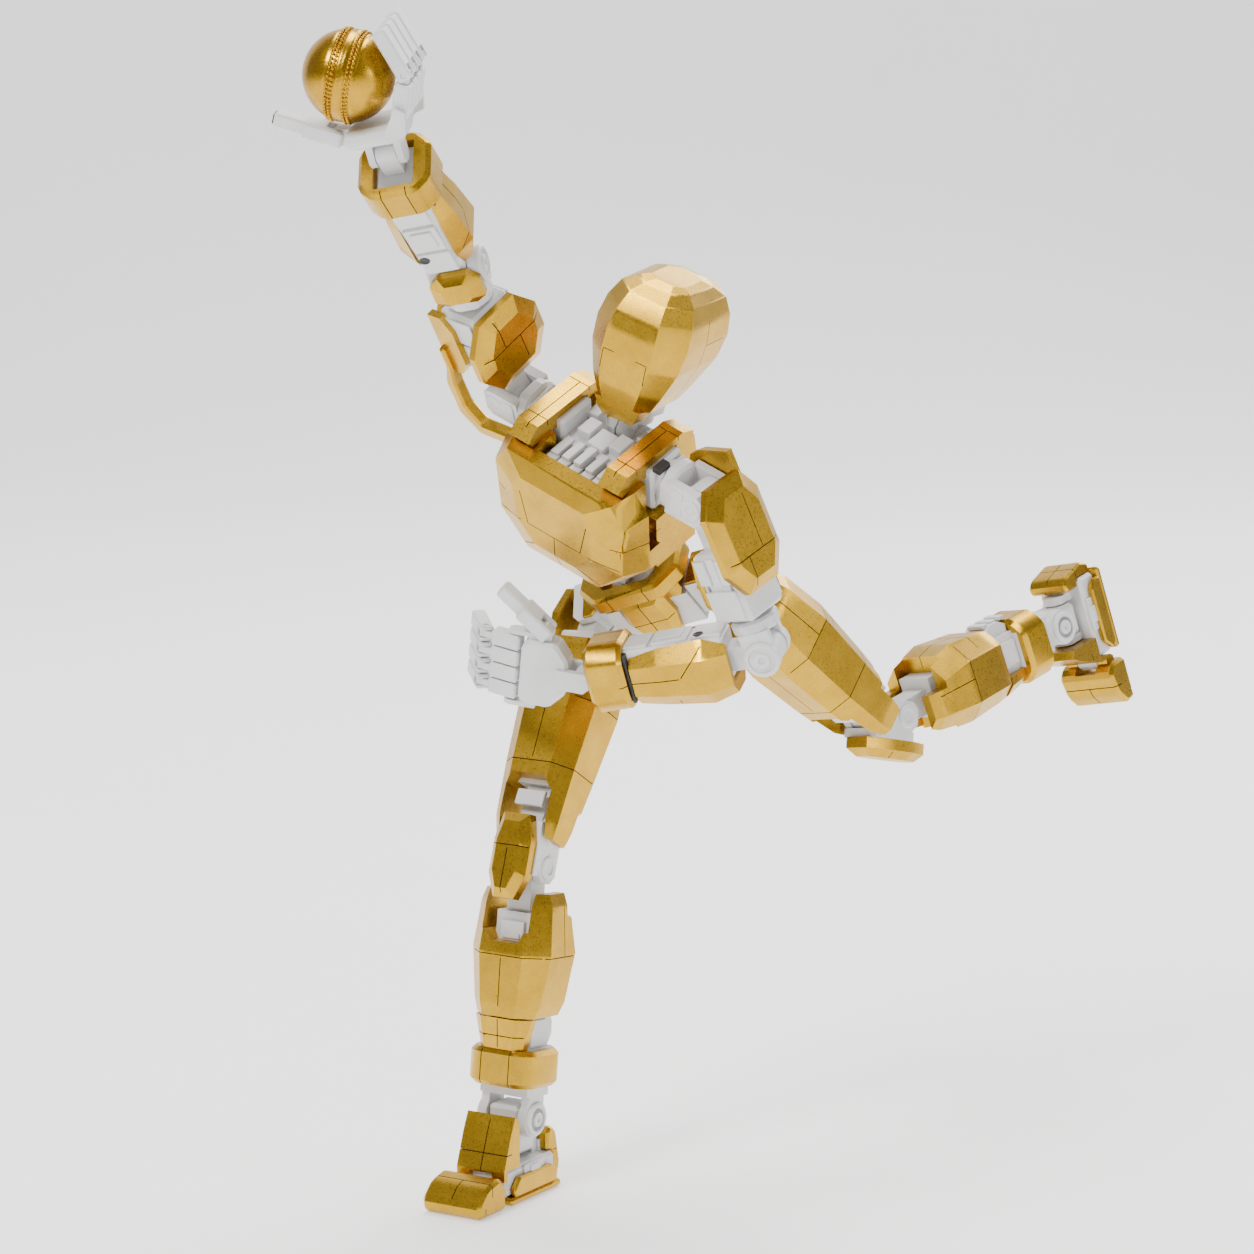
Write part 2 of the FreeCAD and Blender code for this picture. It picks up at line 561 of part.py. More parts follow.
def waist():
    pin = rod("z", k.swivel_rad, (-18.5, -8), (0, 0))
    plate = prism("z", (-8.6, -5.4), octagon(Size(8.6, "8.6"), 8.6, 8.6, 0.55), 0.6)
    neck = box((-3.5, 3.5), (-3.9, 3.9), (-6, 0))
    knuckle = rod("y", 4.6, (-3.9, 3.9), (0, 0))
    whole = fuse(pin, plate, neck, knuckle)
    finish(cut(whole, rod("y", k.pin_rad + k.pin_fit, (-5, 5), (0, 0))), "waist_ring", F["ring"])
    fork = [(-5.5, -2), (-3, -4), (3, -4), (5.5, -2), (7, 7), (-7, 7)]
    cheeks = [prism("y", (s * 4.3, s * 7.6), fork) for s in (-1, 1)]
    body = box((-9, 9), (-7.6, 7.6), (5.6, 12.5))
    lug = box((-4.6, 4.6), (-4.2, 4.2), (12, k.abdomen_long))
    bend = rod("x", 5.0, (-4.6, 4.6), (0, k.abdomen_long))
    pin = rod("y", k.pin_rad, (-7, 7), (0, 0))
    whole = fuse(body, lug, bend, pin, *cheeks)
    finish(cut(whole, rod("x", k.pin_rad + k.pin_fit, (-6, 6), (0, k.abdomen_long))), "abdomen_core",
           F["abdomen"])


# ---------------------------------------------------------------- chest, neck and head

def chest_frame():
    half = k.core_half
    fork = [(-5.5, -2.5), (-2.5, -5), (2.5, -5), (5.5, -2.5), (5.5, 9), (-5.5, 9)]
    cheeks = [prism("x", (s * 5, s * 8.5), fork) for s in (-1, 1)]
    pin = rod("x", k.pin_rad, (-7, 7), (0, 0))
    core = box((-half, half), (-k.core_deep / 2, k.core_deep / 2), (8, 30.8))
    bay = box((-half + 2.4, half - 2.4), (-7.6, 7.6), (11, 27.5))
    sides = [block((s * (half - 1), s * 25.2), (-7.5, 7.5), (29, 46), 1.0) for s in (-1, 1)]
    deck = box((-half, half), (-19, 5), (29, 37.5))
    ear = [(k.neck_back - 4, 29), (k.neck_back + 4, 29), (k.neck_back + 4, k.neck_up + 1.5),
           (k.neck_back + 1.8, k.neck_up + 3.8), (k.neck_back - 1.8, k.neck_up + 3.8),
           (k.neck_back - 4, k.neck_up + 1.5)]
    post = [prism("x", (s * 3.9, s * 6.8), ear) for s in (-1, 1)]
    shelf = box((-half, half), (-7, k.neck_back + 4.2), (27.5, 30.8))
    neck_pin = rod("x", 1.8, (-6, 6), (k.neck_back, k.neck_up))
    whole = fuse(cut(fuse(core, deck), bay), pin, shelf, neck_pin, *(cheeks + sides + post))
    sockets = [rod("x", k.swivel_rad + k.pin_fit, (s * 16.4, s * 26), (0, k.shoulder_up)) for s in (-1, 1)]
    whole = cut(whole, *sockets)
    finish(whole, "chest_frame", F["chest"])


def chest_plates():
    """Breastplate, flanks and back."""
    half = k.chest_half
    rim = [(-half * 0.6, -1), (half * 0.6, -1), (half, 12), (half, 36), (half * 0.82, 43), (-half * 0.82, 43),
           (-half, 36), (-half, 12)]
    mid = [(-half * 0.5, 1), (half * 0.5, 1), (half * 0.86, 13), (half * 0.9, 34), (half * 0.72, 41.5),
           (-half * 0.72, 41.5), (-half * 0.9, 34), (-half * 0.86, 13)]
    face = [(-half * 0.3, 9), (half * 0.3, 9), (half * 0.52, 17), (half * 0.56, 30), (half * 0.44, 36),
            (-half * 0.44, 36), (-half * 0.56, 30), (-half * 0.52, 17)]
    front = loft("y", [(-10, rim), (-15, rim), (-24, mid), (-k.chest_front, face)])
    front = cut(front, box((-k.core_half, k.core_half), (-19, -9), (29, 50)),
                box((-12, 12), (-20, -9), (-2, 7.5)))
    armholes = [box((s * 24.5, s * 40), (-15.2, -9), (20, 60)) for s in (-1, 1)]
    front = cut(front, *armholes)
    back = loft("y", [(10, rim), (13, rim), (k.chest_back, mid)])
    shoulders = [box((s * 22, s * 40), (9, 20), (16, 60)) for s in (-1, 1)]
    back = cut(back, box((-k.core_half, k.core_half), (9, 17), (27, 60)), *shoulders)
    flanks = []
    for s in (-1, 1):
        shape = [(-9.9, 8), (9.9, 8), (9.9, 28.9), (-9.9, 28.9)]
        flank = prism("x", (s * k.core_half, s * (k.chest_half - 1.5)), shape)
        flanks.append(flank)
    finish(group(front, back, *flanks), "chest_plates", F["chest"])


def collar_plates():
    """Clavicle straps over the shoulders and the raised collar behind the neck."""
    parts = []
    for s in (-1, 1):
        strap = [(-19.5, 43), (-21.5, 45.5), (-16.5, 49.5), (11, 48.6), (16, 46), (16, 43), (7.6, 43), (7.6, 46.1),
                 (-7.6, 46.1), (-7.6, 43)]
        parts.append(prism("x", (s * 14.4, s * 22.8), strap))
        wing = [(17, 42.5), (19.5, 40.5), (20.5, 32), (17, 28.5)]
        parts.append(prism("x", (s * 14.4, s * 21), wing, 0.8))
    return parts


def chest_inside():
    battery = block((-9.4, 9.4), (-7.6, 2.4), (11, 26.5), 0.8)
    finish(battery, "battery_pack", F["chest"])
    board = box((-10, 10), (4.4, 6), (11, 26.8))
    chips = [box((x - 3, x + 3), (2.9, 4.4), (z - 3, z + 3)) for x, z in ((-4.5, 22.5), (4.5, 15.5))]
    posts = [box((x - 1, x + 1), (6, 7.6), (z - 1, z + 1)) for x, z in ((-8, 13), (8, 13), (-8, 25), (8, 25))]
    finish(fuse(board, *(chips + posts)), "control_board", F["chest"])


def neck_post():
    lug = rod("x", 3.6, (-3.5, 3.5), (0, 0))
    stem = box((-3.5, 3.5), (-3, 3), (0, 12))
    collar = prism("z", (8.5, 14.2), octagon(k.swivel_rad + 3.6, 7.6, 7.6), 0.8)
    pin = rod("z", 3.0, (14, 22), (0, 0))
    whole = fuse(lug, stem, collar, pin)
    finish(cut(whole, rod("x", 1.8 + k.pin_fit, (-5, 5), (0, 0))), "neck_post", F["neck"])


def head():
    low = 14.5
    socket = rod("z", 3.0 + k.pin_fit, (low - 1, low + 8.5), (0, 0))
    core = cut(prism("z", (low, low + 14.5), octagon(9.0, 9, 9)), socket)
    chin = box((-6.5, 6.5), (-14.5, -8), (low, low + 2.5))
    finish(fuse(core, chin), "head_frame", F["head"])
    half = k.head_half
    top = k.head_tall + 5
    skull = loft("z", [
        (low, octagon(half * 0.6, 17.2, 9.9, 0.42)), (low + 6, octagon(half * 0.76, 19.2, 13.4, 0.42)),
        (low + 16, octagon(half * 0.96, 20.8, 20.5, 0.46)), (low + 24, octagon(half, 20.8, 23, 0.48)),
        (low + 31, octagon(half * 0.94, 19.2, 22.6, 0.5)), (low + 36.5, octagon(half * 0.8, 15.8, 19.8, 0.5)),
        (top - 1.4, octagon(half * 0.56, 10.5, 14.5, 0.5)), (top, octagon(half * 0.36, 6.5, 10, 0.5))])
    jaw = loft("z", [
        (low - 6.5, [(-5.5, -14), (5.5, -14), (5, -10.6), (-5, -10.6)]),
        (low - 4, [(-7, -15.8), (7, -15.8), (8, -10.6), (-8, -10.6)]),
        (low, [(-half * 0.5, -17.1), (half * 0.5, -17.1), (half * 0.56, -10.6), (-half * 0.56, -10.6)])])
    hollow = prism("z", (low - 0.5, low + 14.5), octagon(9.0, 9, 9))
    chin_gap = box((-6.5, 6.5), (-14.5, -8), (low, low + 2.5))
    finish(cut(fuse(skull, jaw), hollow, chin_gap), "head_shell", F["head"])


# ---------------------------------------------------------------- arms

def shoulder_core(side, tag):
    """Swing shaft into the chest and the fork of the raise hinge."""
    inner = -side
    fork = [(side * 4.2, -4), (side * 4.2, 4), (side * 2, 6), (inner * 10, 6), (inner * 10, -6), (side * 2, -6)]
    cheeks = [prism("y", (s * 4.8, s * 8), fork) for s in (-1, 1)]
    ring = Size(7.9, "7.9")
    bridge = prism("x", (inner * 8.6, inner * 13.5), octagon(ring, 7.9, 7.9, 0.5), 1.0)
    hub = block((inner * 13, inner * 15.6), (-6.5, 6.5), (-6.5, 6.5), 0.8)
    shaft = rod("x", k.swivel_rad, (inner * 15, inner * 24), (0, 0))
    pin = rod("y", k.pin_rad, (-7, 7), (0, 0))
    finish(fuse(bridge, hub, shaft, pin, *cheeks), "shoulder_core_" + tag, F["shoulder_" + tag])


def upper_arm_frame(tag):
    """Raise knuckle, neck and the slotted arm block with its twist socket."""
    half = k.arm_core / 2
    knuckle = rod("y", 6.0, (-4.4, 4.4), (0, 0))
    neck = box((-5, 5), (-4.4, 4.4), (-17, 0))
    body = block((-half, half), (-8.5, 8.5), (-40, -16))
    bore = rod("y", k.pin_rad + k.pin_fit, (-6, 6), (0, 0))
    twist = rod("z", 3.5 + k.pin_fit, (-41, -29), (0, 0))
    slots = [box((-half + 2.2, -half + 3.6), (-9, -7.6), (-37, -24)),
             box((half - 3.6, half - 2.2), (-9, -7.6), (-37, -24))]
    finish(cut(fuse(knuckle, neck, body), bore, twist, *slots), "upper_arm_frame_" + tag, F["upper_" + tag])


def upper_arm_plates(side, tag, top, tall, wide):
    """Deltoid shield outside, strip plate inside."""
    low = top - tall
    half = wide / 2
    rim = [(-half * 0.55, low), (half * 0.55, low), (half, low + 9), (half, top - 8), (half * 0.6, top),
           (-half * 0.6, top), (-half, top - 8), (-half, low + 9)]
    face = [(-half * 0.35, low + 4.5), (half * 0.35, low + 4.5), (half * 0.66, low + 11), (half * 0.66, top - 11),
            (half * 0.36, top - 4.5), (-half * 0.36, top - 4.5), (-half * 0.66, top - 11), (-half * 0.66, low + 11)]
    start = k.arm_core / 2
    shield = loft("x", [(side * start, rim), (side * (start + 2.5), rim),
                        (side * (start + k.deltoid_thick), face)])
    reach = -side
    if side < 0:
        strip = prism("x", (reach * start, reach * (start + 2.6)),
                      [(-8.5, -17), (7, -17), (8.5, -24), (7, -34), (3, -39.5), (-6, -39.5), (-8.5, -36)])
        wing = prism("y", (-8.5, -11.2), [(reach * 10.6, -15), (reach * 5, -15), (reach * 1.5, -20),
                                          (reach * 1.5, -34), (reach * 5, -39.5), (reach * 10.6, -39.5)])
        hook = [(7.9, -26), (7.9, -17), (9.8, -9), (9.8, 1), (5.6, 7), (-7, 7), (-9, 9.4), (-6.6, 12),
                (7.6, 12), (14.2, 4), (14.2, -10), (10.6, -18), (10.6, -26)]
        guard = prism("y", (8.5 * side, 13 * side), [(reach * x, z) for x, z in hook], 0.8)
        parts = [shield, fuse(strip, wing, guard)]
    else:
        strip = prism("x", (reach * start, reach * (start + 2.6)),
                      [(-7, -17), (7, -17), (8.5, -24), (7, -36), (3, -40), (-4, -40), (-8.5, -34), (-8.5, -24)],
                      0.8)
        cup_rim = [(7.9 * side, -20), (7.9 * side, 12), (3 * reach, 13.5), (8.5 * reach, 12.5), (12.5 * reach, 7),
                   (13.5 * reach, -5), (8 * reach, -17), (3 * reach, -20)]
        cup_face = [(5 * side, -17), (5 * side, 8.5), (3 * reach, 10), (7 * reach, 9), (10 * reach, 5),
                    (10.5 * reach, -4), (6 * reach, -14), (2 * reach, -17)]
        cup = loft("y", [(8.5 * side, cup_rim), (11 * side, cup_rim), (13 * side, cup_face)])
        parts = [shield, strip, cup]
    finish(group(*parts), "upper_arm_plates_" + tag, F["upper_" + tag])


def elbow_block(tag):
    """Twist pin, shoulder plate and elbow fork with its round end discs."""
    pin_up = rod("z", 3.5, (9, 22), (0, 0))
    plate = prism("z", (8.2, 12.8), octagon(Size(7.5, "7.5"), 7.5, 7.5, 0.56), 0.8)
    cheeks = []
    for s in (-1, 1):
        cheeks.append(rod("x", 5.8, (s * 4.8, s * 7.8), (0, 0)))
        cheeks.append(box((s * 4.8, s * 7.8), (-5, 5), (0, 9)))
        cheeks.append(rod("x", 4.2, (s * 7.8, s * 8.6), (0, 0)))
    pin = rod("x", k.pin_rad, (-7, 7), (0, 0))
    finish(fuse(pin_up, plate, pin, *cheeks), "elbow_block_" + tag, F["elbow_" + tag])


def elbow_cap():
    """Faceted cap behind the raised arm's elbow."""
    outer = [(-8.4, -0.5), (-5, -3.5), (5, -3.5), (8.4, -0.5), (8.4, 6), (5, 8.1), (-5, 8.1), (-8.4, 6)]
    face = [(-4.5, 0.5), (-3, -1.5), (3, -1.5), (4.5, 0.5), (4.5, 4.5), (3, 6), (-3, 6), (-4.5, 4.5)]
    cap = loft("y", [(-5.9, outer), (-8.6, outer), (-11, face)])
    finish(cap, "elbow_cap_r", F["elbow_r"])


def forearm_frame(tag):
    """Elbow knuckle, forearm core and wrist knuckle."""
    low = -k.forearm_long
    half = k.forearm_core / 2
    knuckle = rod("x", 5.4, (-4.4, 4.4), (0, 0))
    neck = box((-4.4, 4.4), (-4, 4), (-14, 0))
    core = block((-half, half), (-9, 7), (low + 7, -12), 0.9)
    wrist = box((-3.2, 3.2), (-3.2, 3.2), (low, low + 8))
    eye = rod("x", 3.2, (-3.2, 3.2), (0, low))
    bores = [rod("x", k.pin_rad + k.pin_fit, (-6, 6), (0, 0)), rod("x", 1.2 + k.pin_fit, (-5, 5), (0, low))]
    finish(cut(fuse(knuckle, neck, core, wrist, eye), *bores), "forearm_frame_" + tag, F["fore_" + tag])


def forearm_plates(tag):
    """Open-fronted forearm shell and the wrist cuff."""
    half = k.forearm_wide / 2
    low = -k.forearm_long
    shell = loft("z", [
        (low + 19, octagon(half * 0.78, 8, 10)), (-34, octagon(half * 0.92, 9, 11.5)),
        (-19, octagon(half, 9.5, 13)), (-11, octagon(half * 0.75, 8, 11))])
    core = box((-k.forearm_core / 2, k.forearm_core / 2), (-20, 7), (low, 0))
    shell = cut(shell, core)
    cuff = prism("z", (low + 4.5, low + 4.5 + k.wrist_cuff_tall), octagon(k.wrist_cuff / 2, 12.4, 11, 0.42), 1.4)
    core_again = box((-k.forearm_core / 2, k.forearm_core / 2), (-9, 7), (low, 0))
    finish(group(shell, cut(cuff, core_again)), "forearm_plates_" + tag, F["fore_" + tag])


def palm(side, tag):
    """Wrist fork, palm, and the long knuckle pin between two end ears."""
    half = k.palm_wide / 2
    cheeks = [prism("x", (s * 3.5, s * 5.6), [(-3.4, -8), (3.4, -8), (3.4, 1.5), (1.6, 3.3), (-1.6, 3.3),
                                              (-3.4, 1.5)]) for s in (-1, 1)]
    pin = rod("x", 1.2, (-5, 5), (0, 0))
    if tag == "l":
        outline = [(-5.6, -4.5), (5.6, -4.5), (half, -10), (half, -19), (9, -20.4), (-9, -20.4), (-half, -19),
                   (-half, -9)]
        body = prism("x", (-4.4, 4.4), outline, 1.0)
        ears = [prism("y", (s * 11.9, s * 13.4), [(-2.2, -17), (2.2, -17), (2.2, -24), (1, -25.5), (-1, -25.5),
                                                  (-2.2, -24)]) for s in (-1, 1)]
        feet = [box((-2.2, 2.2), (s * 10, s * 13.4), (-18.6, -15)) for s in (-1, 1)]
        knuckles = rod("y", k.finger_pin, (-12.6, 12.6), (0, -23.3))
    else:
        outline = [(-5.6, -4.3), (5.6, -4.3), (half, -6.5), (half, -9.6), (9, -11), (-9, -11), (-half, -9.6),
                   (-half, -6.5)]
        body = prism("x", (-8, 9), outline, 1.0)
        ears = [prism("y", (s * 11.9, s * 13.4), [(-5, -6.5), (-5, -10), (-10, -17), (-12.6, -15), (-11, -8)])
                for s in (-1, 1)]
        feet = [box((-8, -5), (s * 10, s * 13.4), (-9.6, -7)) for s in (-1, 1)]
        knuckles = rod("y", k.finger_pin, (-12.6, 12.6), (-10.4, -14.6))
    if tag == "l":
        seat = prism("x", (-2.1, 2.1), [(-11, -18), (-11, -11), (-14.6, -11), (-16.8, -13), (-16.8, -15),
                                        (-14.6, -17.5)])
        slot = rod("x", 1.0 + k.pin_fit, (-5, 5), (THUMB_L[1], THUMB_L[2]))
    else:
        seat = prism("y", (-2.1, 2.1), [(8.5, -10), (8.5, -5.5), (13, -5.6), (16, -7.8), (16, -9.8), (13.5, -11.2)])
        slot = rod("y", 1.0 + k.pin_fit, (-5, 5), (THUMB_R[0], THUMB_R[2]))
    whole = fuse(body, pin, knuckles, seat, *(cheeks + ears + feet))
    finish(cut(whole, slot), "palm_" + tag, F["hand_" + tag])


# thumb hinge centres on the two palms
THUMB_R = (14, 0, -8.6)
THUMB_L = (0, -14.7, -14)


def finger_row(tag, label, knuckle, angle, long_, first):
    """Four equal segments side by side on one knuckle line."""
    links = []
    for i in range(4):
        y = (i - 1.5) * k.finger_pitch
        half = k.finger_wide / 2
        deep = 2.5 if first else 2.3
        if first:
            body = block((-deep, deep), (y - half, y + half), (-long_ + 3.1, 2.2), 0.6)
            tongue = box((-1.5, 1.5), (y - 1.1, y + 1.1), (-long_ - 1.4, -long_ + 3))
            tip_pin = rod("y", k.finger_pin, (y - 2.3, y + 2.3), (0, -long_))
            whole = fuse(body, tongue, tip_pin)
            links.append(cut(whole, rod("y", k.finger_pin + k.pin_fit, (y - 4, y + 4), (0, 0))))
        else:
            body = block((-deep, deep), (y - half, y + half), (-long_, 1.7), 0.6)
            gap = box((-4, 4), (y - 1.35, y + 1.35), (-2.1, 4))
            bore = rod("y", k.finger_pin + k.pin_fit, (y - 4, y + 4), (0, 0))
            links.append(cut(body, gap, bore))
    frame = F["hand_" + tag] * Placement(Vector(knuckle[0], 0, knuckle[1]), Rotation(Vector(0, 1, 0), angle))
    finish(group(*links), label, frame)
    return frame


def thumb(tag, centre, turn, angle):
    """Two-jointed look, one hinge: cheeks over the palm's seat and a narrower tip."""
    body = block((-2.6, 2.6), (-4.4, 4.4), (-10, 2.3), 0.6)
    room = box((-4, 4), (-2.3, 2.3), (-3.4, 5))
    tip = block((-2.3, 2.3), (-3, 3), (-19.5, -9), 0.7)
    pin = rod("y", 1.0, (-4, 4), (0, 0))
    whole = fuse(cut(body, room), tip, pin)
    frame = F["hand_" + tag] * move(*centre) * spin("z", turn) * spin("y", angle)
    finish(whole, "thumb_" + tag, frame)


def hand_r():
    palm(-1, "r")
    base = finger_row("r", "finger_bases_r", (-10.4, -14.6), 22, k.finger_base + 1, True)
    F["tips_r"] = base * move(0, 0, -k.finger_base - 1) * spin("y", -38)
    tips_at(F["tips_r"], "finger_tips_r", k.finger_tip + 3)
    thumb("r", THUMB_R, 0, -62)
    ball = doc.addObject("Part::Sphere", "ball")
    bind(ball, "Radius", k.ball_rad)
    finish(ball, "ball", F["hand_r"] * move(k.ball_side, 0, -k.ball_out))


def tips_at(frame, label, long_):
    links = []
    for i in range(4):
        y = (i - 1.5) * k.finger_pitch
        half = k.finger_wide / 2
        body = block((-2.3, 2.3), (y - half, y + half), (-long_, 1.7), 0.6)
        gap = box((-4, 4), (y - 1.35, y + 1.35), (-2.4, 4))
        bore = rod("y", k.finger_pin + k.pin_fit, (y - 4, y + 4), (0, 0))
        links.append(cut(body, gap, bore))
    finish(group(*links), label, frame)


def hand_l():
    palm(1, "l")
    base = finger_row("l", "finger_bases_l", (0, -23.3), 12, k.finger_base, True)
    F["tips_l"] = base * move(0, 0, -k.finger_base) * spin("y", 50)
    tips_at(F["tips_l"], "finger_tips_l", k.finger_tip)
    thumb("l", THUMB_L, 90, 38)


def arm(side, tag, deltoid_top, deltoid_tall, deltoid_wide):
    shoulder_core(side, tag)
    upper_arm_frame(tag)
    upper_arm_plates(side, tag, deltoid_top, deltoid_tall, deltoid_wide)
    elbow_block(tag)
    forearm_frame(tag)
    forearm_plates(tag)


# ---------------------------------------------------------------- build and write

leg(-1, "r")
leg(1, "l")
pelvis()
waist()
chest_frame()
chest_plates()
finish(group(*collar_plates()), "collar_plates", F["chest"])
chest_inside()
neck_post()
head()
arm(-1, "r", -12, k.deltoid_tall - 10, k.deltoid_wide + 4)
arm(1, "l", 6, k.deltoid_tall, k.deltoid_wide)
elbow_cap()
hand_r()
hand_l()
doc.recompute()

for thing in doc.Objects:
    if "Invalid" in thing.State or "Error" in thing.State:
        raise RuntimeError("%s (%s) did not build" % (thing.Name, thing.Label))

os.makedirs("parts", exist_ok=True)
for thing in FINISHED:
    shape = thing.Shape
    if shape.isNull() or not shape.isValid():
        raise RuntimeError("%s has no valid shape" % thing.Label)
    shape.exportStep("parts/%s.step" % thing.Label)
    print(thing.Label, len(shape.Solids), round(shape.Volume, 1))
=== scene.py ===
import json
import math

import bmesh
import bpy
from mathutils import Matrix, Vector


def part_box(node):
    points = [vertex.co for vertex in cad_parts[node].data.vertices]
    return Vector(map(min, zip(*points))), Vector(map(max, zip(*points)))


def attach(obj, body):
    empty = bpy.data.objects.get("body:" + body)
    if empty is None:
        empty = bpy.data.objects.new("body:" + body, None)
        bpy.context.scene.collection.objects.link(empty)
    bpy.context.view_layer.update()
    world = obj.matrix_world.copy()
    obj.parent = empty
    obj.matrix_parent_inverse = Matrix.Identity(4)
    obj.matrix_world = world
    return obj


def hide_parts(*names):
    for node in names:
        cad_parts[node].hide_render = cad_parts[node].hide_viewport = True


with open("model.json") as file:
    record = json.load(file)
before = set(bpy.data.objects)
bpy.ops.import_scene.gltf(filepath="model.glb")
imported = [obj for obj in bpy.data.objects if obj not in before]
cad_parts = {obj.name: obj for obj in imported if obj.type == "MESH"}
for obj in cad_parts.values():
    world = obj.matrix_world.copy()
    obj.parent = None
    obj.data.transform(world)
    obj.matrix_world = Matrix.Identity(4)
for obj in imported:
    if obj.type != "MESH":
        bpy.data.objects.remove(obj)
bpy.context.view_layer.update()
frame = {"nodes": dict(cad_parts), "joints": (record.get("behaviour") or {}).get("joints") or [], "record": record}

MM = 0.001
HEAD_TURN = 8
THUMB_ROOT = (14, 0, -8.6)
THUMB_BEND = -62
FOOT_ROLL_DROP = 9
ANKLE_DROP = 84
joints = {j["name"]: j for j in frame["joints"]}
nodes = frame["nodes"]
bodies = frame["record"]["behaviour"]["bodies"]
body_of = {n: b for b, members in bodies.items() for n in members}


# ---------------------------------------------------------------- local frames from the joints

def at(name):
    return Vector(joints[name]["pos_m"])


def ax(name, sign=1):
    return Vector(joints[name]["axis"]) * sign


def turned(degrees, axis):
    return Matrix.Rotation(math.radians(degrees), 4, axis)


def basis(origin, x=None, y=None, z=None):
    """Frame from an origin and two directions; the first one given is kept exact."""
    if z is None:
        z = x.cross(y)
    elif y is None:
        y = z.cross(x)
    else:
        x = y.cross(z)
    z = z.normalized()
    if x is None:
        x = y.cross(z)
    x = (x - z * x.dot(z)).normalized()
    y = z.cross(x)
    return Matrix.Translation(origin) @ Matrix((x, y, z)).transposed().to_4x4()


F = {}
for t, s in (("r", -1), ("l", 1)):
    foot = basis(at("ankle_roll_" + t), x=ax("toe_" + t, -1), y=ax("ankle_roll_" + t))
    F["foot_" + t] = foot @ Matrix.Translation((0, 0, FOOT_ROLL_DROP * MM))
    low, high = at("knee_lower_" + t), at("knee_upper_" + t)
    F["shin_" + t] = basis(low, x=ax("ankle_pitch_" + t), z=low - at("ankle_pitch_" + t))
    F["knee_" + t] = basis(low, x=ax("knee_lower_" + t, s), z=high - low)
    F["thigh_" + t] = basis(at("hip_turn_" + t), x=ax("knee_upper_" + t, s), z=ax("hip_turn_" + t))
    F["yoke_" + t] = basis(at("hip_turn_" + t), y=ax("hip_spread_" + t), z=ax("hip_turn_" + t))
    F["hip_" + t] = basis(at("hip_swing_" + t), x=ax("hip_swing_" + t), y=ax("hip_spread_" + t))
    F["shoulder_" + t] = basis(at("arm_swing_" + t), x=ax("arm_swing_" + t, -s), y=ax("arm_raise_" + t))
    F["upper_" + t] = basis(at("arm_raise_" + t), y=ax("arm_raise_" + t), z=ax("arm_turn_" + t))
    F["elbow_" + t] = basis(at("elbow_" + t), x=ax("elbow_" + t), z=ax("arm_turn_" + t))
    F["fore_" + t] = basis(at("elbow_" + t), x=ax("elbow_" + t), z=at("elbow_" + t) - at("wrist_" + t))
    F["hand_" + t] = basis(at("wrist_" + t), x=ax("wrist_" + t), y=ax("finger_curl_" + t))
F["thumb_r"] = F["hand_r"] @ Matrix.Translation(Vector(THUMB_ROOT) * MM) @ turned(THUMB_BEND, "Y")
F["pelvis"] = basis((at("hip_swing_r") + at("hip_swing_l")) / 2, x=ax("hip_swing_l"), z=ax("waist_turn"))
F["chest"] = basis(at("waist_bend"), x=ax("waist_bend"),
                   z=(at("arm_swing_r") + at("arm_swing_l")) / 2 - at("waist_bend"))
F["neck"] = basis(at("neck_bend"), x=ax("neck_bend"), z=ax("head_turn"))
F["head"] = F["neck"] @ turned(HEAD_TURN, "Z")


# ---------------------------------------------------------------- materials

def set_in(node, **values):
    for name, value in values.items():
        node.inputs[name.replace("_", " ")].default_value = value


def material(name, low, high, rough, metal, grain, scale):
    """Moulded or plated surface: cloudy colour, uneven gloss and a fine skin."""
    m = bpy.data.materials.new(name)
    m.use_nodes = True
    tree = m.node_tree
    shader = tree.nodes["Principled BSDF"]
    shader.inputs["Metallic"].default_value = metal
    place = tree.nodes.new("ShaderNodeTexCoord")
    cloud = tree.nodes.new("ShaderNodeTexNoise")
    set_in(cloud, Scale=scale, Detail=6.0, Roughness=0.6)
    tree.links.new(place.outputs["Object"], cloud.inputs["Vector"])
    ramp = tree.nodes.new("ShaderNodeValToRGB")
    ramp.color_ramp.elements[0].position = 0.32
    ramp.color_ramp.elements[1].position = 0.68
    ramp.color_ramp.elements[0].color = (*low, 1)
    ramp.color_ramp.elements[1].color = (*high, 1)
    tree.links.new(cloud.outputs["Fac"], ramp.inputs["Fac"])
    tree.links.new(ramp.outputs["Color"], shader.inputs["Base Color"])
    spread = tree.nodes.new("ShaderNodeMapRange")
    set_in(spread, From_Min=0.3, From_Max=0.7, To_Min=rough[0], To_Max=rough[1])
    fine = tree.nodes.new("ShaderNodeTexNoise")
    set_in(fine, Scale=scale * 14, Detail=4.0, Roughness=0.7)
    tree.links.new(place.outputs["Object"], fine.inputs["Vector"])
    tree.links.new(fine.outputs["Fac"], spread.inputs["Value"])
    tree.links.new(spread.outputs["Result"], shader.inputs["Roughness"])
    bump = tree.nodes.new("ShaderNodeBump")
    set_in(bump, Strength=grain, Distance=0.0002)
    tree.links.new(fine.outputs["Fac"], bump.inputs["Height"])
    tree.links.new(bump.outputs["Normal"], shader.inputs["Normal"])
    return m


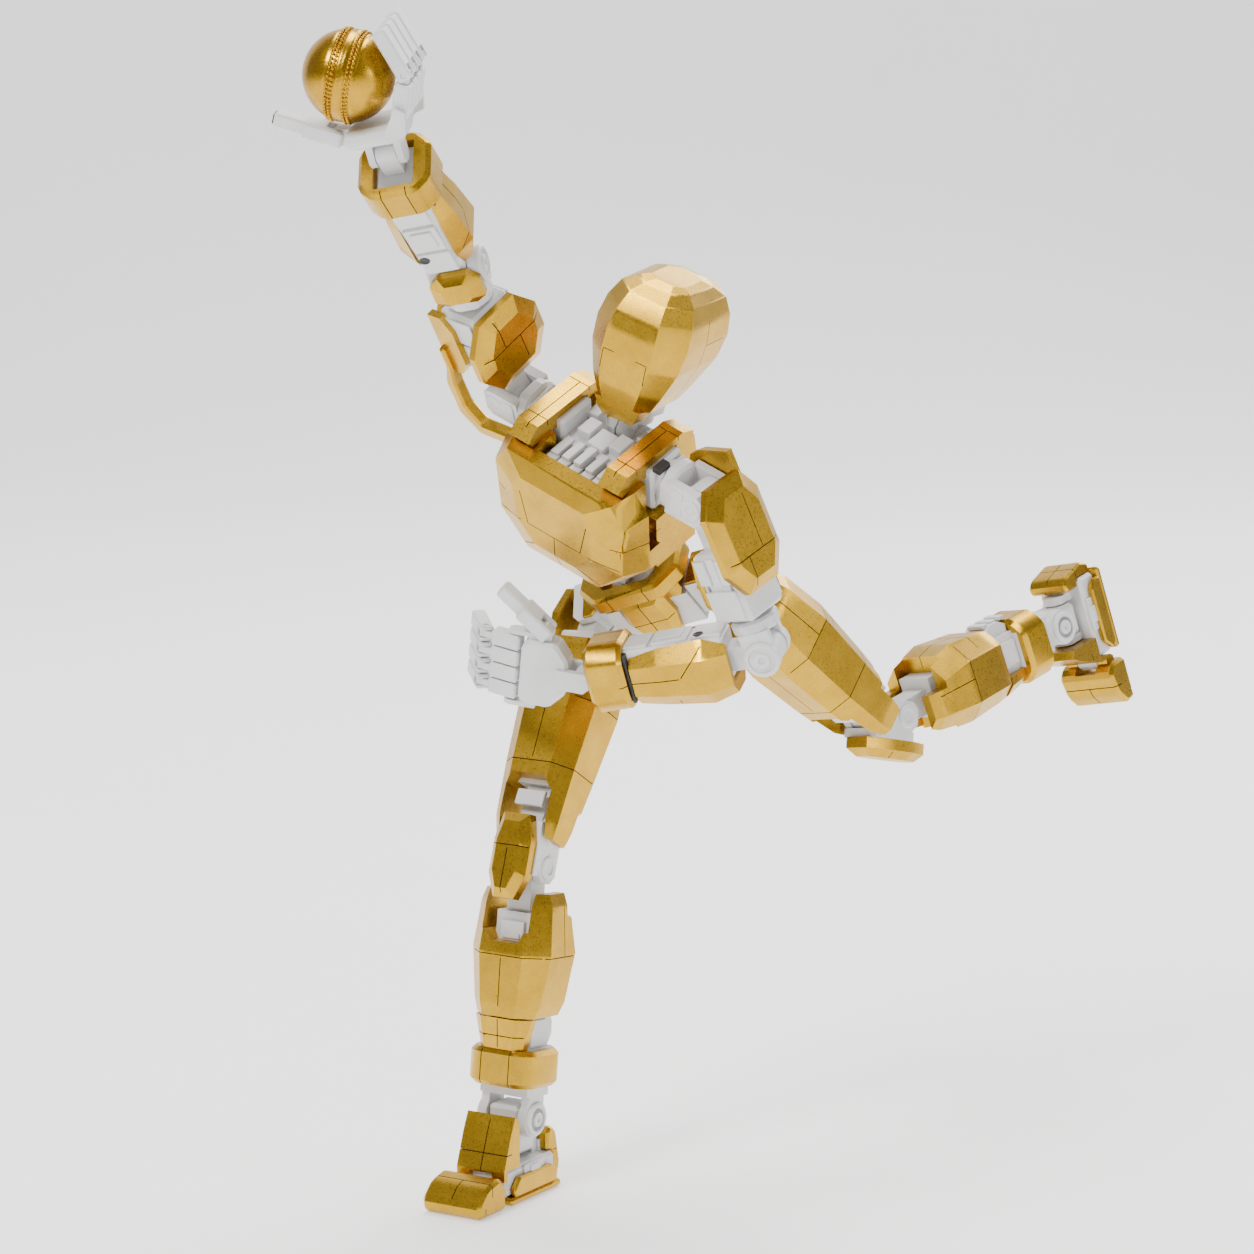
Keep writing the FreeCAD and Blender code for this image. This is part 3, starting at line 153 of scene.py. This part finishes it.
GOLD = material("satin_gold", (0.46, 0.262, 0.016), (0.58, 0.340, 0.026), (0.24, 0.38), 1.0, 0.10, 90)
BALL = material("ball_gold", (0.44, 0.238, 0.012), (0.55, 0.305, 0.020), (0.22, 0.34), 1.0, 0.15, 120)
WHITE = material("frame_white", (0.62, 0.62, 0.62), (0.70, 0.70, 0.70), (0.34, 0.48), 0.0, 0.08, 70)
# black for the real black thumb tip, and painted shade for the dark backings set in recesses, gaps and under the
# head
BLACK_AND_SHADE = material("black_and_recess_shade", (0.010, 0.010, 0.011), (0.022, 0.022, 0.024), (0.42, 0.60), 0.0, 0.15, 160)
SEAM = material("seam_shade", (0.075, 0.042, 0.012), (0.12, 0.066, 0.018), (0.50, 0.70), 0.2, 0.1, 160)
# painted shade: dark grey laid on the floors of the joint-disc grooves
SHADE = material("disc_groove_shade", (0.20, 0.20, 0.20), (0.30, 0.30, 0.30), (0.45, 0.60), 0.0, 0.1, 120)
BOARD = material("board_green", (0.01, 0.07, 0.03), (0.02, 0.11, 0.05), (0.35, 0.5), 0.0, 0.1, 150)
WRAP = material("battery_wrap", (0.012, 0.015, 0.025), (0.03, 0.035, 0.05), (0.3, 0.45), 0.0, 0.1, 100)
SLOTS = {"armour": GOLD, "inner_frame": WHITE, "ball": BALL, "battery": WRAP, "board": BOARD}
for part in frame["record"]["subparts"]:
    mesh = nodes[part["node"]].data
    mesh.materials.clear()
    mesh.materials.append(SLOTS[part["material_slot"]])


# ---------------------------------------------------------------- mesh helpers

def soften(obj, width, segments=2, limit=24):
    """Rounded edges with even shading."""
    edge = obj.modifiers.new("edge", "BEVEL")
    edge.width = width * MM
    edge.segments = segments
    edge.limit_method = "ANGLE"
    edge.angle_limit = math.radians(limit)
    edge.use_clamp_overlap = True
    edge.harden_normals = True
    for face in obj.data.polygons:
        face.use_smooth = True
    even = obj.modifiers.new("even", "WEIGHTED_NORMAL")
    even.keep_sharp = True
    even.weight = 80


def solid(bm, frame_, corners, faces):
    verts = [bm.verts.new(frame_ @ (Vector(c) * MM)) for c in corners]
    made = [bm.faces.new([verts[i] for i in f]) for f in faces]
    bmesh.ops.recalc_face_normals(bm, faces=made)
    return made


def add_prism(bm, frame_, axis, along, points):
    """Outline (the two other coordinates, in order) carried along an axis."""
    order = {"x": lambda a, b, c: (c, a, b),
             "y": lambda a, b, c: (a, c, b),
             "z": lambda a, b, c: (a, b, c)}[axis]
    n = len(points)
    corners = [order(a, b, along[0]) for a, b in points] + [order(a, b, along[1]) for a, b in points]
    faces = [tuple(range(n)), tuple(range(2 * n - 1, n - 1, -1))]
    faces += [(i, (i + 1) % n, (i + 1) % n + n, i + n) for i in range(n)]
    return solid(bm, frame_, corners, faces)


def add_block(bm, frame_, x, y, z):
    return add_prism(bm, frame_, "z", z, [(x[0], y[0]), (x[1], y[0]), (x[1], y[1]), (x[0], y[1])])


def add_lathe(bm, frame_, axis, across, profile, steps=40):
    """Turned piece: profile holds (radius, position along the axis); both ends close on the axis."""
    place = {"x": lambda u, v, w: (w, across[0] + u, across[1] + v),
             "y": lambda u, v, w: (across[0] + u, w, across[1] + v),
             "z": lambda u, v, w: (across[0] + u, across[1] + v, w)}[axis]
    corners, faces = [], []
    for radius, along in profile:
        for i in range(steps):
            a = math.tau * i / steps
            corners.append(place(radius * math.cos(a), radius * math.sin(a), along))
    for ring in range(len(profile) - 1):
        for i in range(steps):
            j = (i + 1) % steps
            here, above = ring * steps, (ring + 1) * steps
            faces.append((here + i, here + j, above + j, above + i))
    faces.append(tuple(range(steps)))
    last = (len(profile) - 1) * steps
    faces.append(tuple(range(last + steps - 1, last - 1, -1)))
    return solid(bm, frame_, corners, faces)


class Batch:
    """Solids of one finish that ride on one body, as one object."""

    made = []

    def __init__(self, name, body, finish, slot=None, width=0.3):
        self.name, self.body, self.finish, self.slot = name, body, finish, slot
        self.width = width
        self.bm = bmesh.new()
        Batch.made.append(self)

    def prism(self, f, axis, along, points):
        add_prism(self.bm, F[f], axis, along, points)
        return self

    def block(self, f, x, y, z):
        add_block(self.bm, F[f], x, y, z)
        return self

    def lathe(self, f, axis, across, profile, steps=40):
        add_lathe(self.bm, F[f], axis, across, profile, steps)
        return self

    def close(self):
        mesh = bpy.data.meshes.new(self.name)
        self.bm.to_mesh(mesh)
        self.bm.free()
        obj = bpy.data.objects.new(self.name, mesh)
        bpy.context.scene.collection.objects.link(obj)
        mesh.materials.append(self.finish)
        soften(obj, self.width)
        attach(obj, self.body)
        return obj


class Grooves:
    """Thin blades that cut a CAD plate's panel lines."""

    made = {}
    GAP = 0.17

    def __init__(self, node, f, gap=None):
        self.node, self.f = node, f
        self.gap = gap or Grooves.GAP
        self.bm = bmesh.new()
        Grooves.made[node] = self

    def cut(self, x, y, z):
        g = self.gap
        spans = [v if isinstance(v, tuple) else (v - g, v + g) for v in (x, y, z)]
        add_block(self.bm, F[self.f], *spans)
        return self

    def prism(self, axis, along, points):
        add_prism(self.bm, F[self.f], axis, along, points)
        return self

    def slant(self, axis, along, a, b):
        """Blade between two points of the plane across the axis."""
        d = Vector((b[0] - a[0], b[1] - a[1])).normalized()
        n = Vector((-d.y, d.x)) * self.gap
        a, b = Vector(a), Vector(b)
        return self.prism(axis, along, [a + n, b + n, b - n, a - n])

    def close(self):
        mesh = bpy.data.meshes.new("blade_" + self.node)
        self.bm.to_mesh(mesh)
        self.bm.free()
        obj = bpy.data.objects.new("blade_" + self.node, mesh)
        bpy.context.scene.collection.objects.link(obj)
        mesh.materials.append(SEAM)
        obj.hide_render = True
        obj.display_type = "WIRE"
        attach(obj, body_of[self.node])
        part = nodes[self.node]
        lines = part.modifiers.new("lines", "BOOLEAN")
        lines.operation = "DIFFERENCE"
        lines.solver = "EXACT"
        lines.object = obj
        lines.use_self = True
        lines.material_mode = "TRANSFER"


def both(step):
    """Run a step for the figure's right side, then its left side."""
    for tag, sign, side in (("r", -1, "right"), ("l", 1, "left")):
        step(tag, sign, side)


# ---------------------------------------------------------------- legs

def leg(t, s, side):
    """Panel lines, hip skins, knee and ankle details of one leg; s is the outer side."""
    g = Grooves("thigh_shell_" + t, "thigh_" + t)
    g.cut(0, (-20, -10), (-57, -18))
    g.cut((-20, -9), (-20, 20), -58).cut((9, 20), (-20, 20), -58).cut((-12, 12), (-20, -9.5), -58)
    g.cut((-20, -9.5), (-20, 20), -34).cut((9.5, 20), (-20, 20), -34)
    g.cut((-20, -10.5), 1, (-58, -34)).cut((10.5, 20), 1, (-34, -14))
    g.cut(0, (10, 20), (-56, -16)).cut((-12, 12), (10, 20), -40)
    g = Grooves("shin_plates_" + t, "shin_" + t)
    g.cut(0, (-20, -8.5), (-46, -30)).cut((-20, 20), (-20, -8.5), -29)
    g.cut((-20, -9.5), (-8, 20), -29).cut((9.5, 20), (-8, 20), -29)
    g.cut((-20, -9.5), 2, (-46, -29)).cut((9.5, 20), 2, (-29, -12))
    g.cut((-20, 20), (10, 20), -38).cut(0, (10, 20), (-38, -10))
    g.cut(0, (-20, -9), (-60, -50.4)).cut((-9, 9), (-20, -9.5), -56)
    g.cut(-5.5, (-20, -9.5), (-72.6, -61)).cut(5.5, (-20, -9.5), (-72.6, -61))
    g.cut(-5.5, (9, 20), (-72.6, -61)).cut(5.5, (9, 20), (-72.6, -61))
    g = Grooves("kneecap_" + t, "knee_" + t)
    g.cut(0, (-20, -12.6), (-11, 4)).cut((-6.8, 6.8), (-20, -12.4), 5)
    g = Grooves("toe_cap_" + t, "foot_" + t)
    g.cut((-12, 12), -29, (-19.5, -10)).cut(0, (-40, -29), (-20, -10)).cut((-12, 12), -33, (-26.5, -22.5))
    g = Grooves("foot_plates_" + t, "foot_" + t)
    g.cut(0, (-20, -12.6), (-16, 4)).cut((-10, 10), (-20, -14), -9)
    g.cut(0, (14, 20), (-24, -4)).cut((-9, 9), (13.6, 20), -14)
    w = Batch("hip_skin_" + t, side + "_hip_block", GOLD, "armour", 0.3)
    f = "hip_" + t
    fork = [(-4.6 * s, -2.5), (-2.7 * s, -4.3), (0.6 * s, -4.3), (0.6 * s, 8.2), (-4.6 * s, 8.2)]
    for e in (-1, 1):
        w.prism(f, "y", (e * 7.2, e * 8.3), fork)
    w.block(f, (0.6 * s, -8.4 * s), (-6.9, 6.9), (9.4, 10.5))
    g = Grooves("hip_cap_" + t, "yoke_" + t)
    g.cut((s * 11, s * 14), (-12, 12), -4).cut((s * 11, s * 14), 0, (-12, -4))
    w = Batch("leg_white_" + t, side + "_thigh", WHITE, "inner_frame", 0.35)
    f = "thigh_" + t
    w.block(f, (-5.4, 5.4), (-8.6, -6.8), (-72, -66.6))
    w.block(f, (-5.4, 5.4), (7.6, 9.4), (-77, -62))
    w.block(f, (-3.2, 3.2), (9, 10.4), (-75, -66))
    # painted shade: this batch holds the grey rings for the ankle-disc groove floors
    d = Batch("shin_shade_" + t, side + "_shin", SHADE, None, 0.05)
    w = Batch("shin_white_" + t, side + "_shin", WHITE, "inner_frame", 0.3)
    f = "shin_" + t
    w.block(f, (-4.6, 4.6), (-7.6, -5.8), (-31, -18))
    for z in (-29, -26, -23):
        w.block(f, (-3.4, 3.4), (-8.3, -7.2), (z - 0.9, z + 0.9))
    for z in (-61, -56.5, -52):
        w.block(f, (-3.8, 3.8), (12.2, 13.6), (z - 1.4, z + 1.4))
    for e in (-1, 1):
        w.block(f, (e * 6.8, e * 7.9), (-3.5, 5.5), (-60, -51))
        disc = ((5.6, 9.2), (5.6, 10.3), (4.7, 10.7), (4.0, 10.7), (3.8, 9.9), (2.6, 9.9), (2.4, 10.9),
                (0.9, 10.9), (0.8, 10.3))
        w.lathe(f, "x", (0, -ANKLE_DROP), [(r, e * x) for r, x in disc], 44)
        # painted shade: thin grey ring on the floor of each ankle disc's groove
        floor = ((3.78, 9.7), (3.78, 10.02), (2.42, 10.02), (2.42, 9.7))
        d.lathe(f, "x", (0, -ANKLE_DROP), [(r, e * x) for r, x in floor], 44)
    w = Batch("knee_white_" + t, side + "_knee", WHITE, "inner_frame", 0.25)
    disc = ((4.1, 7.6), (4.1, 8.3), (3.5, 8.6), (2.3, 8.6), (2.1, 8.1), (0.8, 8.1))
    for e in (-1, 1):
        for z in (0, 11):
            w.lathe("knee_" + t, "x", (0, z), [(r, e * x) for r, x in disc], 36)
    w = Batch("foot_white_" + t, side + "_foot", WHITE, "inner_frame", 0.3)
    f = "foot_" + t
    for e in (-1, 1):
        w.block(f, (e * 8.6, e * 9.9), (-7, 5), (-18.6, -14.4))
        w.block(f, (e * 9.4, e * 10.6), (-4, 2), (-17.6, -15))
    w.block(f, (-5, 5), (9, 12.4), (-14.2, -10))


both(leg)


# ---------------------------------------------------------------- trunk and head

def trunk():
    """Panel lines of the torso, pelvis and head, and the white blocks inside the neck opening."""
    g = Grooves("chest_plates", "chest")
    g.cut(0, (-40, -24.6), (-2, 17)).cut((-11, 11), (-40, -25.6), 17)
    g.slant("y", (-40, -24.2), (-9, 9), (-17, 2)).slant("y", (-40, -24.2), (9, 9), (17, 2))
    g.slant("y", (-40, -24.2), (-14, 17), (-28, 14)).slant("y", (-40, -24.2), (14, 17), (28, 14))
    g.slant("y", (-40, -24.4), (-11, 17), (-14, 30)).slant("y", (-40, -24.4), (11, 17), (14, 30))
    g.cut((-32, -22), (-26, -8), 24).cut((22, 32), (-26, -8), 24)
    for s in (-1, 1):
        g.prism("y", (9.2, 21), [(s * 20.5, 18), (s * 41, 18), (s * 41, -8), (s * 30, -8)])
    g.cut(0, (15, 30), (0, 42)).cut((-30, 30), (15, 30), 26)
    g.slant("y", (15, 30), (-12, 26), (-20, 40)).slant("y", (15, 30), (12, 26), (20, 40))
    g = Grooves("collar_plates", "chest")
    g.cut((-30, 30), -12, (46.8, 60)).cut((-30, 30), 8.5, (47, 60)).cut(-18.2, (-30, 8.5), (48.3, 60))
    g.cut(18.2, (-30, 8.5), (48.3, 60))
    g = Grooves("pelvis_plates", "pelvis")
    g.cut(0, (-20, -10.6), (-16, 12)).cut((-10, 10), (-20, -10.4), 2)
    g.cut(-7, (-20, -11.8), (12, 20)).cut(7, (-20, -11.8), (12, 20)).cut(0, (10.4, 20), (-16, 12))
    g.cut(-7, (11, 20), (12.9, 20)).cut(7, (11, 20), (12.9, 20))
    g = Grooves("head_shell", "head", 0.13)
    g.cut((-20, -11), 0.5, (15, 46)).cut((11, 20), 0.5, (15, 46))
    g.cut((-20, -11), (0.5, 12), 38).cut((11, 20), (0.5, 12), 38)
    g.cut((4, 8), (-26, -16.6), 32).cut((-8, -4), (-26, -16.6), 32)
    g.cut(8, (-26, -15), (25, 32)).cut(-8, (-26, -15), (25, 32))
    g.cut(0, (12, 30), (17, 49)).cut((-12, 12), (14, 30), 29)
    w = Batch("chest_white", "chest", WHITE, "inner_frame", 0.35)
    f = "chest"
    for x, low in ((-9.6, 30), (-4.9, 29), (0, 28.6), (4.9, 29), (9.6, 30)):
        w.block(f, (x - 2.0, x + 2.0), (-21.6, -14), (low + 2, 39.2))
        w.block(f, (x - 1.5, x + 1.5), (-15, -6), (37, 41.2 - abs(x) * 0.1))
    w.block(f, (-12.4, 12.4), (-8, 4), (37, 39.4))
    w.block(f, (-9, -4), (-4, 3), (39, 43)).block(f, (4, 9), (-4, 3), (39, 43))
    w.block(f, (-3.4, 3.4), (-6, 2), (39, 41.8))
    for s in (-1, 1):
        w.block(f, (s * 8, s * 12.4), (5, 9.5), (31, 42))
        w.lathe(f, "x", (0, 38.5), [(6.6, s * 24.6), (6.6, s * 25.9), (5.6, s * 26.5), (4.6, s * 26.5)], 36)
    # painted shade: dark block behind the white bars of the neck opening
    k = Batch("chest_recess_shade", "chest", BLACK_AND_SHADE, None, 0.2)
    k.block(f, (-12.8, 12.8), (-18.9, -8), (29.2, 37.7))
    # painted shade: dark block in the gap at the left shoulder
    k = Batch("shoulder_gap_shade_l", "left_shoulder", BLACK_AND_SHADE, None, 0.2)
    k.block(f, (24.4, 27.4), (-6.4, -1), (45.4, 47.4))
    w = Batch("neck_white", "neck", WHITE, "inner_frame", 0.3)
    w.lathe("neck", "z", (0, 0), [(5.2, 5.0), (5.9, 5.4), (5.9, 6.8), (5.2, 7.2)], 40)
    w.lathe("neck", "z", (0, 0), [(6.6, 13.7), (7.0, 13.9), (7.0, 14.1), (6.4, 14.2)], 40)
    # painted shade: thin dark sheet under the head shell
    k = Batch("head_underside_shade", "head", BLACK_AND_SHADE, None, 0.2)
    under = [(-7.5, -14.5), (7.5, -14.5), (8.6, -9), (8.2, 8), (-8.2, 8), (-8.6, -9)]
    k.prism("head", "z", (14.05, 14.48), under)


trunk()


# ---------------------------------------------------------------- arms and hands

def arm(t, s, side):
    """Panel lines, housings and joint discs of one arm; s is the outer side."""
    u, e, f = "upper_" + t, "elbow_" + t, "fore_" + t
    g = Grooves("upper_arm_plates_" + t, u)
    top, low = (-12, -39) if t == "r" else (6, -31)
    g.cut((s * 11.6, s * 20), (-14, 14), low + 12).cut((s * 11.6, s * 20), 3, (low + 12, top - 6))
    g.cut((s * 11.6, s * 20), -4, (low, low + 12))
    g.cut((-s * 9.4, -s * 14), 0, (-39, -18)).cut((-s * 9.4, -s * 14), (-10, 10), -27)
    g = Grooves("forearm_plates_" + t, f)
    for d in (-1, 1):
        span = (d * 8.4, d * 20)
        g.slant("x", span, (-12, -15), (1, -27)).slant("x", span, (1.3, -27.6), (1.3, -48))
    g.cut((-20, 20), (9.5, 20), -30)
    g.cut(0, (9, 20), (-44, -30))
    g.cut(-4, (-20, -10), (-59, -45)).cut(4, (-20, -10), (-59, -45)).cut(-4, (9, 20), (-59, -45))
    w = Batch("forearm_white_" + t, side + "_forearm", WHITE, "inner_frame", 0.35)
    w.block(f, (-5.2, 5.2), (-10.2, -8.6), (-36, -24)).block(f, (-5.2, 5.2), (-10.2, -8.6), (-22.6, -12.4))
    w.block(f, (-5.2, 5.2), (-10.0, -8.6), (-46.5, -37.4)).block(f, (-3.4, 3.4), (-10.9, -9.8), (-34.5, -26))
    # painted shade: dark slab across the gap in the lower forearm, and a small dark disc standing in for a hole
    k = Batch("forearm_gap_shade_" + t, side + "_forearm", BLACK_AND_SHADE, None, 0.1)
    k.block(f, (-9, 9), (-8.6, 8), (-45.4, -44.4))
    k.lathe(f, "y", (3.6, -20), [(1.7, -10.0), (1.7, -10.5), (1.1, -10.5), (1.0, -10.3)], 24)
    # painted shade: this batch holds the grey rings for the elbow-disc groove floors
    h = Batch("elbow_shade_" + t, side + "_elbow", SHADE, None, 0.05)
    w = Batch("elbow_white_" + t, side + "_elbow", WHITE, "inner_frame", 0.22)
    for d in (-1, 1):
        disc = ((5.9, 7.6), (5.9, 8.7), (5.1, 9.2), (4.4, 9.2), (4.2, 8.3), (2.9, 8.3), (2.6, 9.4),
                (1.2, 9.4), (1.0, 8.8))
        w.lathe(e, "x", (0, 0), [(r, d * x) for r, x in disc], 44)
        # painted shade: thin grey ring on the floor of each elbow disc's groove
        floor = ((4.18, 8.1), (4.18, 8.45), (2.8, 8.45), (2.8, 8.1))
        h.lathe(e, "x", (0, 0), [(r, d * x) for r, x in floor], 44)
    w = Batch("upper_arm_white_" + t, side + "_upper_arm", WHITE, "inner_frame", 0.35)
    for y in (-1, 1):
        for x in ((-7.2, -2.4), (2.4, 7.2)):
            w.block(u, x, (y * 8.2, y * 9.5), (-26, -17.5))
        w.block(u, (-6.6, 6.6), (y * 8.2, y * 9.5), (-38.5, -28.5))
        w.block(u, (-1.6, 1.6), (y * 8.2, y * 9.1), (-27, -17))
        w.lathe(u, "y", (0, 0), [(5.2, y * 4.2), (5.2, y * 4.6)], 36)
    w = Batch("shoulder_white_" + t, side + "_shoulder", WHITE, "inner_frame", 0.3)
    sh = "shoulder_" + t
    disc = ((3.9, 7.8), (3.9, 8.3), (3.3, 8.45), (1.6, 8.45), (1.4, 8.1))
    for y in (-1, 1):
        w.lathe(sh, "y", (0, 0), [(r, y * along) for r, along in disc], 36)
        w.block(sh, (-s * 8.2, -s * 3.4), (y * 7.8, y * 8.4), (-4.6, 4.6))


both(arm)


def hands():
    """Dark pad on the end of the right thumb."""
    k = Batch("thumb_black_r", "right_thumb", BLACK_AND_SHADE, None, 0.2)
    k.block("thumb_r", (-1.5, 1.5), (-2.0, 2.0), (-20.0, -19.3))


hands()


# ---------------------------------------------------------------- ball

BALL_POLE = Vector((0.964, -0.148, -0.217)).normalized()
BEAD_ROWS = (-0.235, -0.155, 0.155, 0.235)
BEAD = (0.040, 0.036, 0.045)


def ball():
    """Leather-like ball with a raised band and two double rows of bead stitches."""
    low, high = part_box("ball")
    centre, radius = (low + high) / 2, (high.x - low.x) / 2
    normal = BALL_POLE
    ref = normal.cross(Vector((0, 1, 0))).normalized()
    other = normal.cross(ref)
    bm = bmesh.new()
    bmesh.ops.create_icosphere(bm, subdivisions=6, radius=1.0)
    inner = radius * 0.982
    for v in bm.verts:
        d = v.co.normalized()
        h = d.dot(normal)
        band = 0.007 if abs(h) < 0.085 else 0.0
        groove = -0.010 * math.exp(-(h / 0.012) ** 2)
        dip = -0.020 * sum(math.exp(-((abs(h) - c) / 0.022) ** 2) for c in (0.115, 0.195, 0.295))
        v.co = centre + d * inner * (0.99 + band + groove + dip)
    for h in BEAD_ROWS:
        lat = math.sqrt(1 - h * h)
        count = int(64 * lat)
        for i in range(count):
            a = math.tau * (i + (0.5 if abs(h) > 0.2 else 0)) / count
            d = (normal * h + (ref * math.cos(a) + other * math.sin(a)) * lat).normalized()
            along = (ref * -math.sin(a) + other * math.cos(a)).normalized()
            across = d.cross(along)
            bead = bmesh.ops.create_icosphere(bm, subdivisions=2, radius=1.0)["verts"]
            for v in bead:
                c = v.co.copy()
                shape = along * c.x * BEAD[0] + across * c.y * BEAD[1] + d * c.z * BEAD[2]
                v.co = centre + d * inner * 0.992 + shape * radius
    mesh = bpy.data.meshes.new("ball_skin")
    bm.to_mesh(mesh)
    bm.free()
    for face in mesh.polygons:
        face.use_smooth = True
    obj = bpy.data.objects.new("ball_skin", mesh)
    bpy.context.scene.collection.objects.link(obj)
    mesh.materials.append(BALL)
    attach(obj, body_of["ball"])
    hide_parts("ball")


ball()


# ---------------------------------------------------------------- finish the pieces

for batch in Batch.made:
    batch.close()
for groove in Grooves.made.values():
    groove.close()
for name, obj in nodes.items():
    if name == "ball":
        continue
    if name == "head_shell":
        soften(obj, 0.7, 3)
    else:
        soften(obj, 0.1 if name.startswith(("palm", "finger")) else 0.28)


# ---------------------------------------------------------------- floor, light and camera

CAMERA_TARGET = Vector((0.0387, 0.035, 0.1858))
CAMERA_ELEVATION = math.radians(8)
CAMERA_DISTANCE = 1.3
LAMPS = (
    ("key", (-1.1, -1.4, 1.9), 0.7, 52, (1, 0.99, 0.97)),
    ("fill", (1.9, -1.0, 0.7), 0.8, 14, (0.98, 0.99, 1)),
    ("top", (0.2, 0.6, 2.2), 1.2, 52, (1, 1, 1)),
    ("rear", (1.0, 1.9, 1.5), 1.2, 30, (1, 1, 1)),
)


def stage():
    """Pale sweep, four soft lamps and the camera."""
    bm = bmesh.new()
    rows = []
    for i in range(25):
        a = math.radians(90 * max(0, i - 1) / 23)
        y = 2.2 + 1.2 * math.sin(a) if i else -4.0
        z = 1.2 - 1.2 * math.cos(a) if i else 0.0
        rows.append((y, z))
    rows.append((3.4, 5.0))
    verts = [[bm.verts.new((x, y, z - 0.0003)) for x in (-5, 5)] for y, z in rows]
    for a, b in zip(verts, verts[1:]):
        bm.faces.new((a[0], a[1], b[1], b[0]))
    mesh = bpy.data.meshes.new("floor")
    bm.to_mesh(mesh)
    bm.free()
    for face in mesh.polygons:
        face.use_smooth = True
    floor = bpy.data.objects.new("floor", mesh)
    bpy.context.scene.collection.objects.link(floor)
    paper = material("paper", (0.93, 0.93, 0.93), (0.95, 0.95, 0.95), (0.85, 0.95), 0.0, 0.0, 3)
    set_in(paper.node_tree.nodes["Principled BSDF"], Emission_Color=(1, 1, 1, 1), Emission_Strength=0.55)
    mesh.materials.append(paper)
    for name, place, size, power, tint in LAMPS:
        lamp = bpy.data.lights.new(name, "AREA")
        lamp.energy, lamp.size, lamp.color = power, size, tint
        obj = bpy.data.objects.new(name, lamp)
        bpy.context.scene.collection.objects.link(obj)
        obj.location = place
        aim = Vector((0.04, 0.03, 0.2)) - Vector(place)
        obj.rotation_mode = "QUATERNION"
        obj.rotation_quaternion = aim.to_track_quat("-Z", "Y")
    world = bpy.data.worlds.new("studio")
    world.use_nodes = True
    world.node_tree.nodes["Background"].inputs["Color"].default_value = (1, 1, 1, 1)
    world.node_tree.nodes["Background"].inputs["Strength"].default_value = 0.32
    bpy.context.scene.world = world
    camera = bpy.data.cameras.new("camera")
    camera.lens, camera.sensor_width = 110.5, 36
    camera.clip_start, camera.clip_end = 0.05, 50
    view = bpy.data.objects.new("camera", camera)
    bpy.context.scene.collection.objects.link(view)
    back = Vector((0, -math.cos(CAMERA_ELEVATION), math.sin(CAMERA_ELEVATION)))
    view.location = CAMERA_TARGET + back * CAMERA_DISTANCE
    view.rotation_mode = "QUATERNION"
    view.rotation_quaternion = (-back).to_track_quat("-Z", "Y")
    bpy.context.scene.camera = view


stage()
